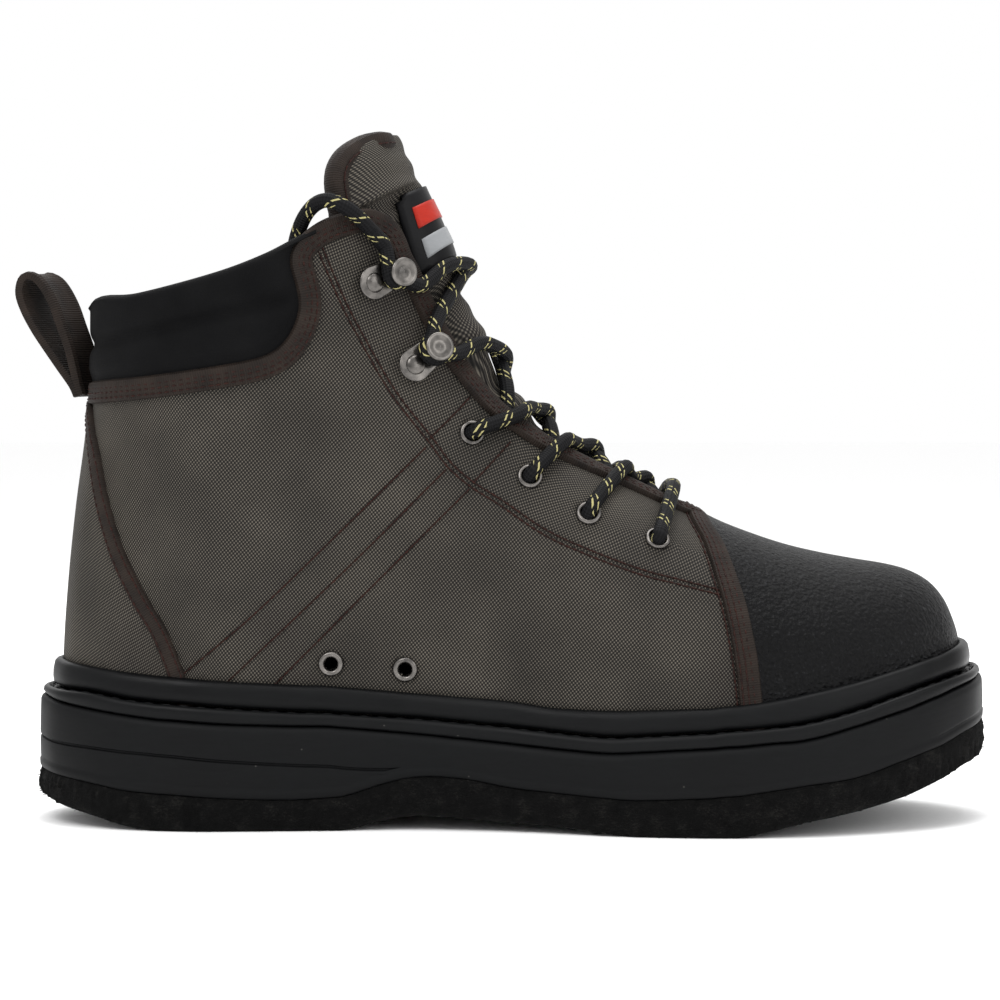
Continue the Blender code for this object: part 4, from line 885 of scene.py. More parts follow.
def keep(data, name, finishes, nodes=(), sharp=40, outward=True):
    """A finished piece: its object, materials, body and the nodes that it stands for."""
    if outward:
        bmesh.ops.recalc_face_normals(data, faces=data.faces)
        if data.calc_volume(signed=True) < 0:
            bmesh.ops.reverse_faces(data, faces=data.faces)
    mesh = mesh_of(data, name)
    if not mesh.polygons:
        raise RuntimeError(f"{name} has no faces")
    piece = bpy.data.objects.new(name, mesh)
    bpy.context.scene.collection.objects.link(piece)
    for finish_name in finishes:
        mesh.materials.append(look(finish_name))
    mesh.shade_smooth()
    mesh.set_sharp_from_angle(angle=math.radians(sharp))
    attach(piece, "root")
    if nodes:
        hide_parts(*nodes)
    return piece


def walled(piece, thickness, offset=-1.0, shift=0):
    """Give an open sheet its wall."""
    step = piece.modifiers.new("wall", "SOLIDIFY")
    step.thickness, step.offset, step.use_even_offset = thickness, offset, True
    step.material_offset = step.material_offset_rim = shift
    return step


def rounded(piece, levels=1):
    """Round a piece by subdivision."""
    step = piece.modifiers.new("round", "SUBSURF")
    step.levels = step.render_levels = levels
    return step


def tape_frames(path, side=1):
    """Frames on the upper along a path: the first axis lies across it, the second points out."""
    frames = []
    for index, point in enumerate(path):
        normal = FORM.find_nearest(point)[1]
        along = heading(path, index).normalized()
        across = along.cross(normal).normalized() * side
        frames.append((point, across, across.cross(along).normalized() * side))
    return frames


def cord_frames(path):
    """Frames along a cord that don't turn about it."""
    frames, last = [], Vector((0.1, 0.2, 1)).normalized()
    for index, point in enumerate(path):
        along = heading(path, index).normalized()
        last = (last - along * last.dot(along)).normalized()
        frames.append((point, last, along.cross(last)))
    return frames


def ring_section(radius, sides):
    """A round section for sweep."""
    return [(radius * math.cos(2 * math.pi * s / sides), radius * math.sin(2 * math.pi * s / sides))
            for s in range(sides)]


def mesh_of(data, name):
    """A mesh of the finished bmesh, which is freed."""
    mesh = bpy.data.meshes.new(name)
    data.to_mesh(mesh)
    data.free()
    return mesh


def one_stitch():
    """A small closed bead that every stitch is a stretched copy of."""
    data = bmesh.new()
    bmesh.ops.create_uvsphere(data, u_segments=6, v_segments=4, radius=1)
    return mesh_of(data, "stitch")


def sew(data, bead, start, end, up, wide, high):
    """One stitch from start to end, lying on a surface that faces up."""
    along = (end - start).normalized()
    over = along.cross(up).normalized()
    turn = Matrix((along, over, along.cross(over))).transposed().to_4x4()
    turn.translation = (start + end) / 2
    turn = turn @ Matrix.Diagonal(((end - start).length / 2, wide, high, 1.0))
    bead.transform(turn)
    data.from_mesh(bead)
    bead.transform(turn.inverted())


def stitches(data, path, side=1, shift=0.0, lift=0.0, size=STITCH_SIZE):
    """A row of stitches beside a path on the upper."""
    line = [frame[0] + frame[1] * shift + frame[2] * lift
            for frame in tape_frames(even_line(path, 0.002, 1), side)]
    line = even_line(line, STITCH_PITCH / 2, 1)
    bead = one_stitch()
    for index in range(0, len(line) - 1, 2):
        start, end = line[index], line[index + 1]
        sew(data, bead, start, start.lerp(end, 1.6), FORM.find_nearest(start)[1], size,
            size * 1.1)
    sweep(data, [(point - up * 0.0001, over, up) for point, over, up in cord_frames(line)],
          ring_section(0.55 * size, 4))
    bpy.data.meshes.remove(bead)


def inside_line(x, z, line):
    """Whether a side-view place lies inside a closed outline."""
    hit = False
    for (ax, az), (bx, bz) in zip(line, line[1:] + line[:1]):
        if (az > z) != (bz > z) and x < (bx - ax) * (z - az) / (bz - az) + ax:
            hit = not hit
    return hit


def flat_line(table, shift=0.0, steps=4):
    """A table of side-view shares as a smooth line, moved to its left by the shift."""
    line = smooth_line([side_place(*row[:2]) for row in table], steps)
    moved = []
    for index, point in enumerate(line):
        along = heading(line, index).normalized()
        moved.append(point + Vector((-along.y, along.x)) * shift)
    return moved


FRONT_X, REAR_X, SKY = sole_x(1.1), sole_x(-0.1), SEAT_HEIGHT + 1.4 * UPPER_RISE
EDGE_TABLE = CUFF_LINE + [row for row in TOP_LINE if row[0] > CUFF_LINE[-1][0] + 0.008]


def under_edge(shift):
    """Outline of what lies under the collar's edge, moved down by the shift."""
    return ([tuple(point) for point in flat_line(EDGE_TABLE, -shift)]
            + [(FRONT_X, SKY * 0.8), (FRONT_X, 0.0), (REAR_X, 0.0)])


def edge_path(side):
    """The bound edge of one side: along the collar from the back, over its peak, and down the
    throat to the front."""
    collar = []
    for point in even_line([side_place(*row) for row in EDGE_TABLE], WIRE_STEP):
        if point.x <= back_x(point.y) + 0.0001:
            collar = [Vector((back_x(point.y), 0.0, point.y))]
            continue
        spot = skin(point.x, point.y, side)[0]
        if point.x > 0.04 and abs(spot.y) < 1.06 * THROAT_HALF_GAP:
            break
        collar.append(spot)
    ribs = [THROAT[0][0] + step * 0.1 for step in range(170)]
    throat = [ridge_side(rib, side * throat_half(rib))[0] for rib in ribs]
    nearest = min(range(len(throat)), key=lambda index: (throat[index] - collar[-1]).length)
    corner = even_line(collar[:-6] + throat[max(0, nearest - 4)::-1], SEAM_STEP, 1)
    return even_line(smoothed(corner, 3), SEAM_STEP, 1)


def smoothed(path, times):
    """A path with its kinks eased and its ends kept."""
    for _ in range(times):
        path = ([path[0]] + [(a + 2 * b + c) / 4 for a, b, c in zip(path, path[1:], path[2:])]
                + [path[-1]])
    return path


def seam_over(table):
    """A seam from the outer foot over the ridge to the inner foot."""
    sides = {}
    for side in (LATERAL, MEDIAL):
        line = []
        for point in even_line([side_place(*row) for row in reversed(table)], FINE_STEP):
            found = FORM.ray_cast(Vector((point.x, side * BALL_WIDTH, point.y)),
                                  Vector((0, -side, 0)))[0]
            if found is None or (found.y - centre_y(found.x)) * side < 0.004:
                break
            line.append(found)
        sides[side] = line
    middle = (sides[LATERAL][-1] + sides[MEDIAL][-1]) / 2
    middle = FORM.find_nearest(middle + Vector((0, 0, 0.004)))[0]
    whole = sides[LATERAL] + [middle] + sides[MEDIAL][::-1]
    return even_line(smoothed(even_line(whole, SEAM_STEP, 1), 6), SEAM_STEP, 1)


def seam_side(table, side):
    """A seam on one side, from its first row, on the upper's face."""
    line = []
    for point in even_line([side_place(*row) for row in table], FINE_STEP):
        if point.x <= back_x(point.y) + 0.0002:
            line = [Vector((back_x(point.y), 0.0, point.y))]
            continue
        line.append(skin(point.x, point.y, side)[0])
    return even_line(line, SEAM_STEP, 1)


def trough_tree(paths):
    """A tree of the points of several paths, for distances."""
    points = [point for path in paths for point in path]
    tree = KDTree(len(points))
    for index, point in enumerate(points):
        tree.insert(point, index)
    tree.balance()
    return tree


def cloth_uv(point):
    """Pattern place of the upper's cloth: side view, unrolled round the back and over the top."""
    spare = max(0.0, 0.038 - abs(point.y - centre_y(point.x)))
    back, front = smooth((0.0 - point.x) / 0.03), smooth((point.x - 0.09) / 0.05)
    return point.x - back * spare, point.z + front * spare


TAPE_SECTION = [(0.0009, -0.0010), (0.0011, 0.0006), (0.0003, 0.0019), (-0.0009, 0.0021),
                (-0.0024, 0.00185), (-0.0040, 0.0018), (-0.0056, 0.00175), (-0.0064, 0.0015),
                (-0.0067, 0.0007), (-0.0066, -0.0006), (-0.0040, -0.0008), (-0.0020, -0.0031),
                (-0.0002, -0.0030)]
FLAT_SECTION = [(0.0027, -0.0006), (0.0028, 0.0010), (0.0024, 0.0017), (0.0010, 0.0020),
                (-0.0010, 0.0020), (-0.0024, 0.0017), (-0.0028, 0.0010), (-0.0027, -0.0006)]


# Camera, light and floor
def build_stage():
    """Camera, lights, world and floor."""
    looks = bpy.context.scene.boot_looks
    camera = bpy.data.objects.new("camera", bpy.data.cameras.new("camera"))
    bpy.context.scene.collection.objects.link(camera)
    camera.data.lens = looks.lens
    camera.data.sensor_width = 36.0
    camera.location = CAMERA_PLACE
    way = Vector(CAMERA_AIM) - camera.location
    camera.rotation_euler = way.to_track_quat("-Z", "Y").to_euler()
    bpy.context.scene.camera = camera
    data = bmesh.new()
    bmesh.ops.create_grid(data, x_segments=1, y_segments=1, size=6.0)
    mesh = mesh_of(data, "floor")
    floor = bpy.data.objects.new("floor", mesh)
    bpy.context.scene.collection.objects.link(floor)
    mesh.materials.append(look("paper"))
    for name, place, size, power in LIGHTS:
        light = bpy.data.lights.new(name, "AREA")
        light.size, light.energy = size, power
        holder = bpy.data.objects.new(name, light)
        bpy.context.scene.collection.objects.link(holder)
        holder.location = place
        way = Vector(LIGHT_AIM) - holder.location
        holder.rotation_euler = way.to_track_quat("-Z", "Y").to_euler()
    world = bpy.data.worlds.new("studio")
    bpy.context.scene.world = world
    world.use_nodes = True
    back = world.node_tree.nodes["Background"]
    back.inputs["Color"].default_value = (1.0, 1.0, 1.0, 1.0)
    back.inputs["Strength"].default_value = 1.0
    bpy.context.scene.view_settings.view_transform = "Standard"


# Lace
STEM_LOOK = STEM_SHARE * HOOK_STEM / 2


def outside(place, side, lift):
    """A point lifted off the upper at a side-view place."""
    point, normal = skin(*side_place(*place), side)
    return point + normal * lift


def hook_seat(row, side):
    """Seat of a speed hook on the upper: X from its rivet to its head, Z out of the upper."""
    rivet, rivet_normal = skin(*side_place(*row[:2]), side)
    head, head_normal = skin(*side_place(*row[2:]), side)
    normal = (rivet_normal + head_normal).normalized()
    across = normal.cross(head - rivet).normalized()
    seat = Matrix((across.cross(normal), across, normal)).transposed().to_4x4()
    middle = FORM.find_nearest((rivet + head) / 2)[0]
    bulge = max(0.0, (middle - rivet).dot(normal))
    seat.translation = rivet + normal * (bulge + HOOK_BASE)
    return seat, HOOK_REACH_SHARE * (head - rivet).length


def edge_over(level, side, toward):
    """Where the lace passes over the throat's edge."""
    rib = LACE_RIBS[level][1 if toward > 0 else 0]
    point, normal, _ = ridge_side(rib, side * (throat_half(rib) + 0.35 * BINDING_WIDTH))
    return point + normal * (BINDING + HALF_LACE + CLEARANCE)


def lace_route(side):
    """Half of the lace: from the bar's middle into the first eyelet of a side, and then from
    side to side up to the top hook."""
    top = edge_over(0, side, 0)
    route = [(top + edge_over(0, -side, 0)) / 2 + Vector((0.001, 0, 0.0016)), top]
    route += [outside(EYELETS[0], side, lift) for lift in (0.0036, 0.0002, INTO_EYELET)]
    for level in range(1, len(LACE_RIBS)):
        near_rib, far_rib = LACE_RIBS[level][0], LACE_RIBS[level - 1][1]
        hooked = level > len(EYELETS)
        if not hooked:
            across = side * (throat_half(far_rib) + 0.003)
            route.append(tongue_place(far_rib, across, 0.0006))
        under = 0.0002 if side == LATERAL else 0.0030
        for share, lift in ((0.93, 0.0004), (0.8, 0.0012), (0.65, 0.0022), (0.5, under + 0.002),
                            (0.3, 0.0028), (0.14, 0.0042)):
            if hooked and share > 0.79:
                continue
            rib = blend(near_rib, far_rib, share)
            across = blend(throat_half(near_rib), -throat_half(far_rib), share)
            route.append(tongue_place(rib, -side * across, HALF_LACE - 0.0016 + lift))
        side = -side
        route.append(edge_over(level, side, -1))
        if level < len(EYELETS):
            place = EYELETS[level]
            route.append(outside(place, side, 0.0034).lerp(edge_over(level, side, -1), 0.18))
            route += [outside(place, side, lift) for lift in (0.0004, INTO_EYELET)]
        else:
            seat, reach = hook_seat(HOOKS[level - len(EYELETS)], side)
            height = HOOK_PLATE + HOOK_GAP / 2
            turn = STEM_LOOK + HALF_LACE
            spots = [(reach + 0.4 * turn, -turn), (reach - 0.7 * turn, -0.75 * turn),
                     (reach - turn, 0.0), (reach - 0.7 * turn, 0.75 * turn),
                     (reach + 0.4 * turn, turn)]
            if (seat @ Vector((0, 1, 0)) - seat.translation).z < 0:
                spots = [(x, -y) for x, y in spots]
            last = level == len(LACE_RIBS) - 1
            if last:
                spots = spots[:3]
            route += [seat @ Vector((x, y, height)) for x, y in spots]
            if last and side == LATERAL:
                route += [Vector(point) for point in LACE_END[:2]]
            if level < len(LACE_RIBS) - 1:
                route.append(edge_over(level, side, 1))
    return route


def build_lace():
    """The lace between eyelets and hooks, and its free end."""
    data = bmesh.new()
    for first in (LATERAL, MEDIAL):
        path = even_line(lace_route(first), FINE_STEP, 10)
        sweep(data, cord_frames(smoothed(path, 2)), ring_section(HALF_LACE, 14), around=True)
    keep(data, "lace", ["cord"],
         ["lace_bar"] + [f"lace_crossing_{level}" for level in range(1, len(LACE_RIBS))])
    data = bmesh.new()
    path = even_line(LACE_END, FINE_STEP, 10)
    sweep(data, cord_frames(path), ring_section(HALF_LACE, 14), around=True)
    end = keep(data, "lace_end", ["cord"], ["lace_end_outer"])


# Sole
def stacked(name, levels, finishes, nodes, steps=8, rough=None):
    """A sole layer drawn up through its levels, each an inset and a height at x."""
    count = (len(SOLE_PLAN) - 1) * steps
    lines = {(side, level[0]): plan_side(side, level[0], steps)
             for side in (LATERAL, MEDIAL) for level in levels}
    data = bmesh.new()
    loops = []
    for inset, height in levels:
        ring = ([lines[(LATERAL, inset)][i] for i in range(count + 1)]
                + [lines[(MEDIAL, inset)][i] for i in range(count - 1, 0, -1)])
        loops.append([Vector((p.x, p.y, height(p.x))) for p in ring])
    around = len(loops[0])
    spots = cells(data, around, len(levels) - 1, lambda i, j: loops[j][i % around],
                  lambda i, j: (i * PATTERN, j * PATTERN))
    bmesh.ops.remove_doubles(data, verts=list(spots), dist=0.000001)
    for level in (0, len(levels) - 1):
        inset = levels[level][0]
        cells(data, count, 1, lambda i, j: Vector((
            *lines[(LATERAL if j == 0 else MEDIAL, inset)][i],
            levels[level][1](lines[(LATERAL if j == 0 else MEDIAL, inset)][i].x))),
              lambda i, j: (i * PATTERN, j * 0.05))
    bmesh.ops.remove_doubles(data, verts=data.verts, dist=0.00003)
    if rough:
        rough(data)
    return keep(data, name, finishes, nodes, sharp=50)


def height(layer, gap=0.0):
    """A height at x: a layer's side line and a gap over it."""
    return lambda x: line_z(x, layer) + gap


def groove(lift):
    """A height at x: the middle of the midsole's side groove."""
    return lambda x: line_z(x, 1, groove=True) + lift


def part_way(share, lift=0.0):
    """A height between the felt's top and the midsole's."""
    return lambda x: blend(line_z(x, 1), line_z(x, 2), share) + lift


def build_sole():
    """Felt, midsole, welt, rand, their stitches and the sock."""
    def frayed(data):
        dice = random.Random(7)
        for vert in data.verts:
            if vert.co.z > line_z(vert.co.x, 0) + 0.0004:
                push = 0.0010 * (dice.random() - 0.45)
                away = Vector((vert.normal.x, vert.normal.y, 0))
                vert.co += away * push
                if vert.co.z < line_z(vert.co.x, 1) - 0.001:
                    vert.co.z += 0.0010 * (dice.random() - 0.5)

    stacked("felt_sole", [(0.0016, height(0)), (0.0006, height(0, 0.0004)),
                          (0.0001, height(0, 0.0016)), (0.0, height(0, 0.0035)),
                          (0.0002, height(0, 0.0055)), (0.0001, height(1, -0.0035)),
                          (0.0004, height(1, -0.0018)), (0.0009, height(1))],
            ["felt"], ["felt_outsole"], steps=22, rough=frayed)
    stacked("midsole_unit", [
        (0.0018, height(1, 0.0001)), (0.0005, height(1, 0.0003)), (0.0001, height(1, 0.0009)),
        (0.0000, height(1, 0.0026)), (0.0004, height(1, 0.0034)), (0.0003, height(1, 0.0042)),
        (0.0002, groove(-0.0014)), (0.0003, groove(-0.0006)), (0.0011, groove(-0.0002)),
        (0.0011, groove(0.0002)), (0.0003, groove(0.0006)), (0.0002, groove(0.0016)),
        (0.0004, part_way(0.8)), (0.0005, height(2, -0.0022)), (0.0009, height(2, -0.0011)),
        (0.0018, height(2, -0.0003)), (0.0030, height(2))],
        ["midsole"], ["midsole"])
    stacked("welt_strip", [
        (0.0030, height(2, 0.0002)), (0.0019, height(2, 0.0004)), (0.0014, height(2, 0.0010)),
        (0.0013, height(3, -0.0018)), (0.0016, height(3, -0.0008)), (0.0023, height(3, -0.0002)),
        (0.0032, height(3, -0.0001)), (0.0037, height(3, -0.0009)), (0.0043, height(3, -0.0010)),
        (0.0052, height(3, -0.0009)), (0.0080, height(3, -0.0002))],
        ["rand"], ["welt"])
    build_fuzz()
    build_rand()
    build_welt_stitches()
    inner = UPPER_INSET + UPPER_WALL + INSOLE_MARGIN
    stacked("sock", [(inner + 0.001, height(3, 0.0004)), (inner, height(3, 0.0012)),
                     (inner, height(3, 0.0034)), (inner + 0.0008, height(3, 0.0041))],
            ["sock"], ["insole"])


def build_fuzz():
    """Loose fibres that stand out of the felt's edge."""
    dice = random.Random(11)
    data, bead = bmesh.new(), one_stitch()
    loop = plan_loop(0.0, 24)
    for _ in range(FIBRES):
        index = dice.randrange(len(loop))
        point, ahead = loop[index], loop[(index + 1) % len(loop)]
        along = (ahead - point).normalized()
        out = Vector((along.y, -along.x, 0))
        share = dice.random() ** 2
        level = blend(line_z(point.x, 0) + 0.0004, line_z(point.x, 1) - 0.001, share)
        start = Vector((point.x, point.y, level)) - out * 0.0005
        lean = Vector((dice.uniform(-1, 1), dice.uniform(-1, 1), dice.uniform(-0.9, 0.5)))
        end = start + (out * 0.9 + lean * 0.8) * dice.uniform(0.0006, 0.0018)
        end.z = max(end.z, line_z(point.x, 0) + 0.0001)
        sew(data, bead, start, end, Vector((0.1, 0.2, 1.0)).normalized(), 0.00006, 0.00006)
    bpy.data.meshes.remove(bead)
    keep(data, "felt_fibres", ["felt"])


def build_rand():
    """A rounded roll between the upper's foot and the stitched edge."""
    inner = UPPER_INSET - 0.0002
    wide = inner - RAND_INSET
    section = [(inner, 3, 0.0003), (RAND_INSET + 0.30 * wide, 3, 0.0003),
               (RAND_INSET + 0.10 * wide, 3, 0.0006), (RAND_INSET, 3, 0.0014),
               (RAND_INSET - 0.0002, 3, 0.0030), (RAND_INSET - 0.0001, 4, -0.0044),
               (RAND_INSET + 0.0002, 4, -0.0030), (RAND_INSET + 0.12 * wide, 4, -0.0016),
               (RAND_INSET + 0.32 * wide, 4, -0.0006), (RAND_INSET + 0.60 * wide, 4, 0.0),
               (RAND_INSET + 0.85 * wide, 4, -0.0003), (inner, 4, -0.0010)]
    loops = [[Vector((p.x, p.y, line_z(p.x, layer) + lift)) for p in plan_loop(inset, 8)]
             for inset, layer, lift in section]
    around = len(loops[0])
    data = bmesh.new()
    cells(data, around, len(section), lambda i, j: loops[j % len(section)][i % around],
          lambda i, j: (i * PATTERN, j * 0.001))
    bmesh.ops.remove_doubles(data, verts=data.verts, dist=0.00002)
    keep(data, "rand_roll", ["rand"], ["rand"], sharp=60)


def build_welt_stitches():
    """The lockstitch in the groove between the rand and the welt's edge."""
    data = bmesh.new()
    loop = [Vector((p.x, p.y, line_z(p.x, 3) - 0.0004)) for p in plan_loop(0.0042, 16)]
    line = even_line(loop + [loop[0]], 0.0030, 1)
    bead = one_stitch()
    for index in range(0, len(line) - 1, 2):
        start, end = line[index], line[index].lerp(line[index + 1], 1.25)
        sew(data, bead, start, end, Vector((0, 0, 1)), 0.00055, 0.0005)
    bpy.data.meshes.remove(bead)
    keep(data, "welt_stitches", ["rand"])


# Upper
def build_upper():
    """The cloth shell with its seams pressed in, and their stitches."""
    sides = (LATERAL, MEDIAL)
    seams = [seam_side(table, side) for side in sides
             for table in (EYESTAY_SEAM, QUARTER_A, QUARTER_B, QUARTER_C, STAY_A, STAY_B)]
    troughs = trough_tree(seams)
    holes = [(skin(*side_place(*place), side)[0], hole) for side in sides
             for places, hole in ((EYELETS, 0.0031), (DRAINS, 0.0028)) for place in places]
    stay = [tuple(p) for p in flat_line(EYESTAY_SEAM)] + [(0.2, 0.1), (0.2, 0.3), (0.0, 0.3)]
    limit = under_edge(0.0022)
    data = bmesh.new()
    count, rows = 6 * (len(RIBS) - 1), 92
    for side in sides:
        edge = [ridge_side(i / 6, side * throat_half(i / 6))[2] if i / 6 > THROAT[0][0] else 0.0
                for i in range(count + 1)]

        def place(i, j):
            point = last_point(i / 6, side * max(1e-6, 1 - (1 - edge[i]) * j / rows))
            away = troughs.find(point)[2]
            if away < 0.004:
                normal = FORM.find_nearest(point)[1]
                press = SEAM_DEPTH * math.exp(-(away / SEAM_WIDTH) ** 2)
                point += normal * (SEAM_RISE - press)
            return point

        points = [[place(i, j) for j in range(rows + 1)] for i in range(count + 1)]
        cells(data, count, rows, lambda i, j: points[i][j], lambda i, j: cloth_uv(points[i][j]))
    bmesh.ops.remove_doubles(data, verts=data.verts, dist=WELD)
    gone = []
    for face in data.faces:
        middle = face.calc_center_median()
        if (middle.z < line_z(middle.x, 3) - 0.0005 or not inside_line(middle.x, middle.z, limit)
                or any((middle - hole).length < radius for hole, radius in holes)):
            gone.append(face)
        elif inside_line(middle.x, middle.z, stay):
            face.material_index = 1
    bmesh.ops.delete(data, geom=gone, context="FACES")
    face_out(data)
    piece = keep(data, "upper_cloth", ["fabric", "fabric_eyestay", "lining", "lining"],
                 ["upper"], outward=False)
    walled(piece, UPPER_WALL, -1.0, 2)
    data = bmesh.new()
    for index, seam in enumerate(seams):
        side = LATERAL if index < len(seams) / 2 else MEDIAL
        twin = index % (len(seams) // 2) == 0
        for shift in (-TWIN_SEAM, TWIN_SEAM) if twin else (0.0,):
            stitches(data, seam, side, shift, 0.0001)
    keep(data, "seam_stitches", ["thread"])


def overlay(name, ribs, inside, finish_name, node, rows, steps):
    """A panel over the upper: the part of its face that inside keeps, lifted and walled."""
    first, last = ribs
    count = round((last - first) * steps)
    points = [[last_point(first + i / steps, j / rows * 2 - 1) for j in range(rows + 1)]
              for i in range(count + 1)]
    flat = [[point.copy() for point in row] for row in points]
    for row in points:
        for point in row:
            point += FORM.find_nearest(point)[1] * OVERLAY
    data = bmesh.new()
    cells(data, count, rows, lambda i, j: points[i][j], lambda i, j: cloth_uv(flat[i][j]))
    bmesh.ops.remove_doubles(data, verts=data.verts, dist=WELD)
    gone = [face for face in data.faces if not inside(face.calc_center_median())]
    bmesh.ops.delete(data, geom=gone, context="FACES")
    face_out(data)
    piece = keep(data, name, [finish_name], [node], outward=False)
    walled(piece, OVERLAY_WALL)


def build_toe_cap():
    """The coated cap, the tape on its edge and four rows of stitches."""
    seam = [tuple(p) for p in flat_line(TOE_SEAM, -0.0018)]
    front = seam + [(FRONT_X, 0.0), (FRONT_X, SKY)]
    overlay("toe_cap_coat", (0.0, 13.6),
            lambda m: m.z > line_z(m.x, 4) - TUCK and inside_line(m.x, m.z, front),
            "coat", "toe_cap", rows=170, steps=8)
    path = seam_over(TOE_SEAM)
    data = bmesh.new()
    frames = tape_frames(path)
    toward = 1 if frames[10][1].x > 0 else -1
    frames = [(point, across * toward, up) for point, across, up in frames]
    sweep(data, frames, TAPE_SECTION)
    keep(data, "toe_cap_tape", ["tape"], ["toe_cap_binding"])
    data = bmesh.new()
    for shift, lift in ((-0.0018, 0.0017), (-0.0036, 0.0017), (-0.0055, 0.0017), (-0.0075, 0.0002)):
        stitches(data, [point + across * shift for point, across, _ in frames], lift=lift)
    keep(data, "toe_cap_stitches", ["thread"])


def build_counter():
    """The heel panel, its tapes and their stitches."""
    seam = [tuple(p) for p in flat_line(COUNTER_SEAM, -0.001)]
    back = seam + [(REAR_X, 0.0), (REAR_X, SKY)]
    limit = under_edge(0.0052)
    overlay("heel_counter_cloth", (17.0, 32.0),
            lambda m: (m.z > line_z(m.x, 4) - TUCK and inside_line(m.x, m.z, back)
                       and inside_line(m.x, m.z, limit)),
            "fabric_eyestay", "heel_counter", rows=150, steps=6)
    tapes, threads = bmesh.new(), bmesh.new()
    for side in (LATERAL, MEDIAL):
        path = seam_side([row for row in COUNTER_SEAM if row[1] < 0.64], side)
        sweep(tapes, tape_frames(path, side), FLAT_SECTION)
        for shift in (-0.0018, 0.0018):
            stitches(threads, path, side, shift, 0.0018)
    keep(tapes, "counter_tape", ["tape"], ["counter_binding"])
    keep(threads, "counter_stitches", ["thread"])


def build_collar():
    """The padded collar, its seam, and the tape round the opening."""
    seams = {side: seam_side(CUFF_SEAM, side) for side in (LATERAL, MEDIAL)}
    troughs = trough_tree(seams.values())
    top = [row for row in TOP_LINE if row[0] < CUFF_LINE[-1][0]] + [CUFF_LINE[-1]]
    reach, data = 0.0024, bmesh.new()
    for side in (LATERAL, MEDIAL):
        low, high = seam_side(CUFF_LINE, side), seam_side(top, side)
        count = 84
        low = [even_at(low, i / count) for i in range(count + 1)]
        high = [even_at(high, i / count) for i in range(count + 1)]
        edges = trough_tree([low])
        rise, roll, fall = 40, 8, 22

        def place(i, j):
            crown = high[i] - Vector((0, 0, reach))
            if j <= rise:
                share = -0.08 + 1.08 * j / rise
                point = FORM.find_nearest(low[i].lerp(crown, share))[0]
                seam = troughs.find(point)[2]
                edge = edges.find(point)[2]
                behind = smooth((point.x - HEEL_BACK - 0.004) / 0.02)
                full = blend(*CUFF_PUFF, behind)
                puff = full * (1 - math.exp(-(seam / 0.0024) ** 2)) * smooth(edge / 0.006)
                puff += 0.0006
                return point + FORM.find_nearest(point)[1] * puff
            point, normal, _, _ = FORM.find_nearest(crown)
            out, into = 0.0033, -CUFF_INSIDE - 0.0006
            if j <= rise + roll:
                turn = math.pi * (j - rise) / roll
                half = (out - into) / 2
                return (point + normal * ((out + into) / 2 + half * math.cos(turn))
                        + Vector((0, 0, reach)) * math.sin(turn))
            share = (j - rise - roll) / fall
            foot = low[i] - Vector((0, 0, 0.010))
            point, normal, _, _ = FORM.find_nearest(crown.lerp(foot, share))
            pinch = 0.0012 * math.sin(math.pi * share)
            return point + normal * (into - pinch)

        points = [[place(i, j) for j in range(rise + roll + fall + 1)] for i in range(count + 1)]
        cells(data, count, rise + roll + fall, lambda i, j: points[i][j],
              lambda i, j: (i * 0.0015, j * 0.0015))
    bmesh.ops.remove_doubles(data, verts=data.verts, dist=0.00005)
    bmesh.ops.smooth_vert(data, verts=data.verts, factor=0.4, use_axis_x=True, use_axis_y=True,
                          use_axis_z=True)
    piece = keep(data, "collar_pad", ["neoprene"], ["collar_cuff"])
    data = bmesh.new()
    for side, seam in seams.items():
        stitches(data, seam, side, lift=0.0005, size=0.00034)
    keep(data, "collar_stitches", ["neoprene"])
    tapes, threads = bmesh.new(), bmesh.new()
    for side in (LATERAL, MEDIAL):
        path = edge_path(side)
        sweep(tapes, tape_frames(path, side), TAPE_SECTION)
        for shift in (-0.0018, -0.0034, -0.0052):
            stitches(threads, path, side, shift, 0.0017)
    keep(tapes, "edge_tape", ["tape"],
         ["collar_binding", "throat_binding_outer", "throat_binding_inner"])
    keep(threads, "edge_stitches", ["thread"])


def even_at(path, share):
    """A point part of the way along an even path."""
    place = share * (len(path) - 1)
    index = min(int(place), len(path) - 2)
    return path[index].lerp(path[index + 1], place - index)


# Tongue
def face_front(piece):
    """Turn the faces of an open sheet on the tongue to the toe."""
    if sum(face.normal.x for face in piece.data.polygons) < 0:
        piece.data.flip_normals()


def tongue_half(rib):
    """Half of the tongue's width at a rib."""
    return table_at(TONGUE, rib, 1, even=rib > TONGUE_FREE) * HALF_BALL


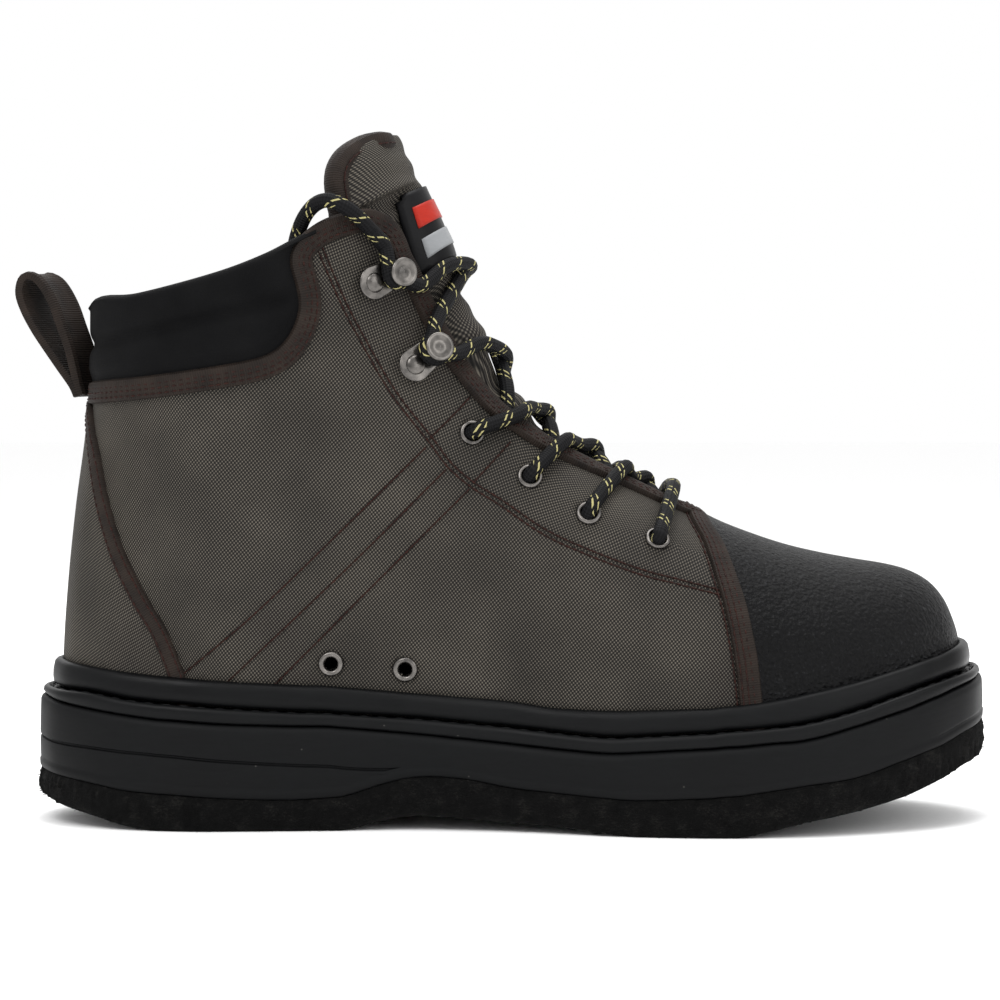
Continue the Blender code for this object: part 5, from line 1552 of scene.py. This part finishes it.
def build_tongue():
    """The padded tongue, the tape on its edge and the patch."""
    first, last = TONGUE[0][0], TONGUE[-1][0]
    rows, columns = 150, 36

    def spot(i, j):
        rib = blend(first, last, i / rows)
        share = j / columns * 2 - 1
        across = share * tongue_half(rib)
        ripple = 0.0004 * math.sin(rib * 5.1 + 3 * share)
        ripple += 0.0014 * math.exp(-(rib - 20.1) ** 2) + 0.0010 * math.exp(-(rib - 22.0) ** 2)
        ripple *= 1 - share * share
        return tongue_place(rib, across, ripple)

    points = [[spot(i, j) for j in range(columns + 1)] for i in range(rows + 1)]
    data = bmesh.new()
    cells(data, rows, columns, lambda i, j: points[i][j],
          lambda i, j: (points[i][j].y, points[i][0].z * 1.15))
    piece = keep(data, "tongue_pad", ["fabric_eyestay", "lining"], ["tongue"],
                 outward=False)
    face_front(piece)
    walled(piece, TONGUE_THICKNESS - 0.0006, -1.0, 1)
    rounded(piece)
    rim = (27.2, 28.0, 28.8, 29.6, 30.3, 30.8, 31.1)
    edge = ([(rib, -tongue_half(rib)) for rib in rim]
            + [(last, tongue_half(last) * step / 4) for step in (-4, -2.5, 2.5, 4)]
            + [(rib, tongue_half(rib)) for rib in reversed(rim)])
    spots = [tongue_place(rib, across) for rib, across in edge]
    normals = [FORM.find_nearest(ridge_side(rib, across)[0])[1] for rib, across in edge]
    path = even_line(spots, 0.002)
    frames = []
    for index, point in enumerate(path):
        along = heading(path, index).normalized()
        place = index / (len(path) - 1) * (len(normals) - 1)
        low = min(int(place), len(normals) - 2)
        up = normals[low].lerp(normals[low + 1], place - low)
        across = along.cross(up).normalized()
        frames.append((point, across, across.cross(along).normalized()))
    thick = TONGUE_THICKNESS
    section = [(0.0010, -thick * 0.5), (0.0008, -0.0010), (0.0, 0.0008), (-0.0014, 0.0014),
               (-0.0045, 0.0013), (-0.0054, 0.0006), (-0.0054, -0.0010), (-0.0030, -0.0020),
               (-0.0030, -thick + 0.001), (-0.0054, -thick - 0.0002), (-0.0045, -thick - 0.0012),
               (-0.0014, -thick - 0.0012), (0.0, -thick - 0.0006), (0.0008, -thick + 0.0012)]
    middle, (top, over, _) = points[rows // 2][columns // 2], frames[len(frames) // 2]
    if (top + over * 0.01 - middle).length < (top - over * 0.01 - middle).length:
        frames = [(point, -across, up) for point, across, up in frames]
    data = bmesh.new()
    sweep(data, frames, section)
    keep(data, "tongue_tape", ["tape"])
    data = bmesh.new()
    line = [frame[0] - frame[1] * 0.0036 + frame[2] * 0.0014 for frame in frames]
    stitches(data, line)
    keep(data, "tongue_stitches", ["thread"])
    build_patch()


def build_patch():
    """A plain rubber patch with a raised rim and two bars on the front of the tongue."""
    first, last = PATCH_RIBS
    rows, columns = 22, 18

    def spot(i, j, low=first, high=last, reach=1.3, lift=0.0005, ribs=rows, wide=columns):
        rib = blend(low, high, i / ribs)
        half = tongue_profile(min(rib, last))[2][0]
        across = (j / wide * 2 - 1) * half * reach
        return tongue_place(rib, across, lift)

    data = bmesh.new()
    cells(data, rows, columns, spot, lambda i, j: (i * PATTERN, j * PATTERN))
    corner = [v for v in data.verts if v.is_boundary and len(v.link_edges) == 2]
    bmesh.ops.delete(data, geom=corner, context="VERTS")
    inner = bmesh.ops.inset_region(data, faces=data.faces, thickness=0.0013, depth=0.0,
                                   use_even_offset=True)
    rim = set(inner["faces"])
    lifts = {vert: FORM.find_nearest(vert.co)[1] for vert in data.verts}
    for vert in data.verts:
        edge = any(face in rim for face in vert.link_faces)
        vert.co += lifts[vert] * (0.0006 if edge else 0.0)
    piece = keep(data, "tongue_badge", ["patch"], ["tongue_patch"], outward=False)
    face_front(piece)
    walled(piece, 0.0016, 0.4)
    for name, low, high in (("red", 26.2, 27.7), ("grey", 23.9, 25.4)):
        data = bmesh.new()
        cells(data, 8, 22, lambda i, j: spot(i, j, low, high, 1.06, 0.0014, 8, 22),
              lambda i, j: (i * PATTERN, j * PATTERN))
        bar = keep(data, f"tongue_badge_bar_{name}", [f"patch_{name}"], outward=False)
        face_front(bar)
        walled(bar, 0.0007, 1.0)


# Fittings
def turned(data, profile, steps, seat):
    """A profile turned round the local Z of a seat."""
    verts = [data.verts.new((radius, 0, level)) for radius, level in profile]
    edges = [data.edges.new(pair) for pair in zip(verts, verts[1:])]
    if profile[0][0] > 0:
        edges.append(data.edges.new((verts[-1], verts[0])))
    bmesh.ops.spin(data, geom=verts + edges, cent=(0, 0, 0), axis=(0, 0, 1),
                   angle=2 * math.pi, steps=steps, use_merge=True)
    fresh = [vert for vert in data.verts if vert.tag is False]
    bmesh.ops.transform(data, matrix=seat, verts=fresh)
    for vert in data.verts:
        vert.tag = True


def arc(radius, level, size, start, end, steps):
    """Part of a circle in a profile, in degrees."""
    return [(radius + size * math.cos(math.radians(blend(start, end, s / steps))),
             level + size * math.sin(math.radians(blend(start, end, s / steps))))
            for s in range(steps + 1)]


def seat_on(place, side, lift=0.0):
    """Seat on the upper at a side-view place: Z points out."""
    point, normal = skin(*side_place(*place), side)
    across = normal.cross(Vector((1, 0, 0))).normalized()
    seat = Matrix((across.cross(normal), across, normal)).transposed().to_4x4()
    seat.translation = point + normal * lift
    return seat


def build_fittings():
    """Lace eyelets, drain grommets and speed hooks."""
    for kind, places, outer, hole, label in (
            ("lace_eyelet", EYELETS, EYELET_OUTER, EYELET_HOLE, "lace_eyelets"),
            ("drain_grommet", DRAINS, DRAIN_OUTER, DRAIN_HOLE, "drain_grommets")):
        data = bmesh.new()
        rim = (outer - hole) / 4
        profile = ([(hole / 2 - 0.0001, -0.0026), (hole / 2, 0.0)]
                   + arc(hole / 2 + rim, 0.0002, rim, 180, 8, 9)
                   + [(outer / 2, -0.0003), (hole / 2 + 0.0006, -0.0003),
                      (hole / 2 + 0.0004, -0.0026)])
        for side in (LATERAL, MEDIAL):
            for place in places:
                turned(data, profile, 30, seat_on(place, side, 0.0002))
        keep(data, label, ["metal"],
             [f"{kind}_{name}_{index + 1}" for name in ("outer", "inner")
              for index in range(len(places))], sharp=55)
    data = bmesh.new()
    for side in (LATERAL, MEDIAL):
        for row in HOOKS:
            speed_hook(data, *hook_seat(row, side))
    keep(data, "speed_hooks", ["metal"],
         [f"speed_hook_{name}_{index}" for name in ("outer", "inner") for index in (1, 2)],
         sharp=50)


def speed_hook(data, seat, reach):
    """A pear-shaped plate with a bevelled edge, a domed rivet and a dished head on a stem."""
    plate = bmesh.new()
    for centre, radius in ((0, HOOK_WIDTH / 2), (reach, 0.42 * HOOK_WIDTH)):
        for level in (0, HOOK_PLATE):
            made = bmesh.ops.create_circle(plate, segments=40, radius=radius)
            bmesh.ops.translate(plate, verts=made["verts"], vec=(centre, 0, level))
    hull = bmesh.ops.convex_hull(plate, input=plate.verts)
    bmesh.ops.delete(plate, geom=hull["geom_interior"] + hull["geom_unused"], context="VERTS")
    bmesh.ops.dissolve_limit(plate, angle_limit=0.02, verts=plate.verts, edges=plate.edges)
    rims = [edge for edge in plate.edges if len(edge.link_faces) == 2
            and edge.calc_face_angle(0) > 1.0]
    bmesh.ops.bevel(plate, geom=rims, offset=0.00045, offset_type="OFFSET", affect="EDGES",
                    segments=3, profile=0.5, material=-1)
    bmesh.ops.transform(plate, matrix=seat, verts=plate.verts)
    mesh = mesh_of(plate, "plate")
    data.from_mesh(mesh)
    bpy.data.meshes.remove(mesh)
    for vert in data.verts:
        vert.tag = True
    dome = 0.30 * HOOK_WIDTH
    turned(data, [(0, 0.2 * HOOK_PLATE), (dome, 0.2 * HOOK_PLATE), (dome, HOOK_PLATE)]
           + [(dome * math.cos(math.radians(a)), HOOK_PLATE + 0.0013 * math.sin(math.radians(a)))
              for a in (15, 35, 55, 75)] + [(0, HOOK_PLATE + 0.00135)], 28, seat)
    stem, half = STEM_LOOK, HEAD_SHARE * HOOK_HEAD
    under = HOOK_PLATE + HOOK_GAP
    top = under + HOOK_HEAD_THICKNESS
    thick = HOOK_HEAD_THICKNESS / 2
    profile = ([(0, 0.3 * HOOK_PLATE), (stem + 0.0006, 0.3 * HOOK_PLATE),
                (stem + 0.0005, HOOK_PLATE + 0.0002), (stem, HOOK_PLATE + 0.0008),
                (stem, under - 0.0005), (stem + 0.0006, under)]
               + arc(half - thick, under + thick, thick, -85, 85, 8)
               + [(0.72 * half, top - 0.0001), (0.56 * half, top - 0.0006),
                  (0.30 * half, top - 0.0007), (0.14 * half, top - 0.0003), (0, top - 0.0002)])
    turned(data, profile, 32, seat @ Matrix.Translation((reach, 0, 0)))


def build_ring_and_loop():
    """The gaiter ring, its folded tab and the pull loop."""
    back, front, far = GAITER_RIBS
    low = RING_WIRE / 2 + 3 * CLEARANCE
    start = front - 0.10
    outline = [(start, -0.30), (start - 0.04, -0.85), (blend(start, far, 0.5), -1.0),
               (far + 0.06, -0.60), (far, 0.0), (far + 0.06, 0.60),
               (blend(start, far, 0.5), 1.0), (start - 0.04, 0.85), (start, 0.30)]
    half = RING_WIDTH / 2
    route = [tongue_place(rib, across * half, low) for rib, across in outline]
    data = bmesh.new()
    sweep(data, cord_frames(even_line(route, WIRE_STEP)), ring_section(RING_WIRE / 2, 12))
    keep(data, "gaiter_wire", ["metal"], ["gaiter_ring"])
    data = bmesh.new()
    wide = TAB_WIDTH / 2
    fold = [(back, 0.0006), ((back + front) / 2, 0.0030), (front, 0.0034), (front - 0.06, 0.0022),
            (front, 0.0006)]
    line = even_line([tongue_place(rib, 0.0, lift) for rib, lift in fold], WIRE_STEP)
    across = Vector((0, 1, 0))
    frames = [(point, across, heading(line, index).normalized().cross(across).normalized())
              for index, point in enumerate(line)]
    sweep(data, frames, [(wide, -0.0005), (wide, 0.0005), (-wide, 0.0005), (-wide, -0.0005)])
    keep(data, "gaiter_tab", ["tape"], ["gaiter_ring_tab"])
    data = bmesh.new()
    line = even_line([(*side_place(*row), 0.0) for row in LOOP_TAPE], 0.0012)
    line = [Vector((p.x, 0.0, p.y)) for p in line]
    wide, thick = LOOP_WIDTH / 2, 0.6 * LOOP_THICKNESS
    section = [(wide, 0.0), (wide - 0.0003, thick * 1.2), (wide - 0.0020, thick * 1.5),
               (wide - 0.0030, thick), (0.0, thick * 0.8), (0.003 - wide, thick),
               (0.0020 - wide, thick * 1.5), (0.0003 - wide, thick * 1.2), (-wide, 0.0),
               (0.0003 - wide, -thick), (0.0, -thick), (wide - 0.0003, -thick)]
    turned_across = Vector((math.sin(LOOP_YAW), math.cos(LOOP_YAW), 0))
    frames = [(point, turned_across, across.cross(heading(line, index).normalized()).normalized())
              for index, point in enumerate(line)]
    sweep(data, frames, section)
    keep(data, "pull_loop_tape", ["tape"], ["pull_loop"])


# Add-on
def colour(name, description, shade):
    """A colour setting of the add-on, from an sRGB hex value."""
    return FloatVectorProperty(name=name, description=description, subtype="COLOR", size=3,
                               default=srgb(shade))


class BootLooks(bpy.types.PropertyGroup):
    """Colours and sizes of the finishes."""

    lens: FloatProperty(name="Lens", description="Focal length of the camera", default=115.8,
                        min=20.0, max=300.0, unit="CAMERA")
    thread_pitch: FloatProperty(name="Thread pitch", description="Spacing of the cloth's threads",
                                default=0.00120, min=0.0002, max=0.01, precision=5, unit="LENGTH")
    # Cloth colours: painted shade in the gaps between threads, the half-shaded sides of the
    # threads, and a painted highlight on the crowns, each over the cloth's own tone.
    fabric_dark_tone_and_gap_shade: colour("Cloth gaps", "Between the threads", "#0d0b0a")
    fabric_mid_tone_and_side_shade: colour("Cloth", "Sides of the threads", "#302d29")
    fabric_light_tone_and_crown_highlight: colour("Cloth crowns", "Tops of the threads", "#6a645a")
    # Tape colours: painted shade in the grooves between the ribs and a painted highlight on the rib
    # tops, over the tape's own tone.
    tape_dark_tone_and_groove_shade: colour("Tape grooves", "Between the tape's ribs", "#0d0907")
    tape_light_tone_and_rib_highlight: colour("Tape ribs", "Tops of the tape's ribs", "#2a211b")
    lace_fleck: colour("Lace flecks", "Pale threads in the lace", "#a59e6d")


class BOOT_OT_stage(bpy.types.Operator):
    """Camera, lights and floor"""

    bl_idname = "boot.stage"
    bl_label = "Stage"
    bl_options = {"REGISTER", "UNDO"}

    def execute(self, context):
        build_stage()
        return {"FINISHED"}


class BOOT_OT_lace(bpy.types.Operator):
    """Round lace through the eyelets and hooks, and its free end"""

    bl_idname = "boot.lace"
    bl_label = "Lace"
    bl_options = {"REGISTER", "UNDO"}

    def execute(self, context):
        build_lace()
        return {"FINISHED"}


class BOOT_OT_sole(bpy.types.Operator):
    """Felt sole, midsole, stitched edge, rand and sock"""

    bl_idname = "boot.sole"
    bl_label = "Sole"
    bl_options = {"REGISTER", "UNDO"}

    def execute(self, context):
        build_sole()
        return {"FINISHED"}


class BOOT_OT_upper(bpy.types.Operator):
    """Cloth upper with its sewn seams"""

    bl_idname = "boot.upper"
    bl_label = "Upper"
    bl_options = {"REGISTER", "UNDO"}

    def execute(self, context):
        build_upper()
        return {"FINISHED"}


class BOOT_OT_toe_cap(bpy.types.Operator):
    """Coated toe cap and its bound edge"""

    bl_idname = "boot.toe_cap"
    bl_label = "Toe Cap"
    bl_options = {"REGISTER", "UNDO"}

    def execute(self, context):
        build_toe_cap()
        return {"FINISHED"}


class BOOT_OT_counter(bpy.types.Operator):
    """Heel panel and its taped seams"""

    bl_idname = "boot.counter"
    bl_label = "Heel Counter"
    bl_options = {"REGISTER", "UNDO"}

    def execute(self, context):
        build_counter()
        return {"FINISHED"}


class BOOT_OT_collar(bpy.types.Operator):
    """Padded collar and the bound edge of the opening"""

    bl_idname = "boot.collar"
    bl_label = "Collar"
    bl_options = {"REGISTER", "UNDO"}

    def execute(self, context):
        build_collar()
        return {"FINISHED"}


class BOOT_OT_tongue(bpy.types.Operator):
    """Padded tongue, its bound edge and its patch"""

    bl_idname = "boot.tongue"
    bl_label = "Tongue"
    bl_options = {"REGISTER", "UNDO"}

    def execute(self, context):
        build_tongue()
        return {"FINISHED"}


class BOOT_OT_fittings(bpy.types.Operator):
    """Eyelets, drain grommets and speed hooks"""

    bl_idname = "boot.fittings"
    bl_label = "Fittings"
    bl_options = {"REGISTER", "UNDO"}

    def execute(self, context):
        build_fittings()
        return {"FINISHED"}


class BOOT_OT_ring_and_loop(bpy.types.Operator):
    """Gaiter ring with its tab, and the pull loop"""

    bl_idname = "boot.ring_and_loop"
    bl_label = "Ring and Loop"
    bl_options = {"REGISTER", "UNDO"}

    def execute(self, context):
        build_ring_and_loop()
        return {"FINISHED"}


OPERATORS = [BOOT_OT_stage, BOOT_OT_lace, BOOT_OT_sole, BOOT_OT_upper, BOOT_OT_toe_cap,
             BOOT_OT_counter, BOOT_OT_collar, BOOT_OT_tongue, BOOT_OT_fittings,
             BOOT_OT_ring_and_loop]


class BOOT_PT_looks(bpy.types.Panel):
    """Buttons that build the boot's pieces."""

    bl_label = "Wading Boot"
    bl_space_type = "VIEW_3D"
    bl_region_type = "UI"
    bl_category = "Wading Boot"

    def draw(self, context):
        for name in BootLooks.__annotations__:
            self.layout.prop(context.scene.boot_looks, name)
        for item in OPERATORS:
            self.layout.operator(item.bl_idname)


CLASSES = [BootLooks, *OPERATORS, BOOT_PT_looks]


def register():
    for item in CLASSES:
        bpy.utils.register_class(item)
    bpy.types.Scene.boot_looks = PointerProperty(type=BootLooks)


def unregister():
    del bpy.types.Scene.boot_looks
    for item in reversed(CLASSES):
        bpy.utils.unregister_class(item)


def main():
    register()
    for item in OPERATORS:
        getattr(bpy.ops.boot, item.bl_idname.split(".")[1])()


if __name__ == "__main__":
    main()
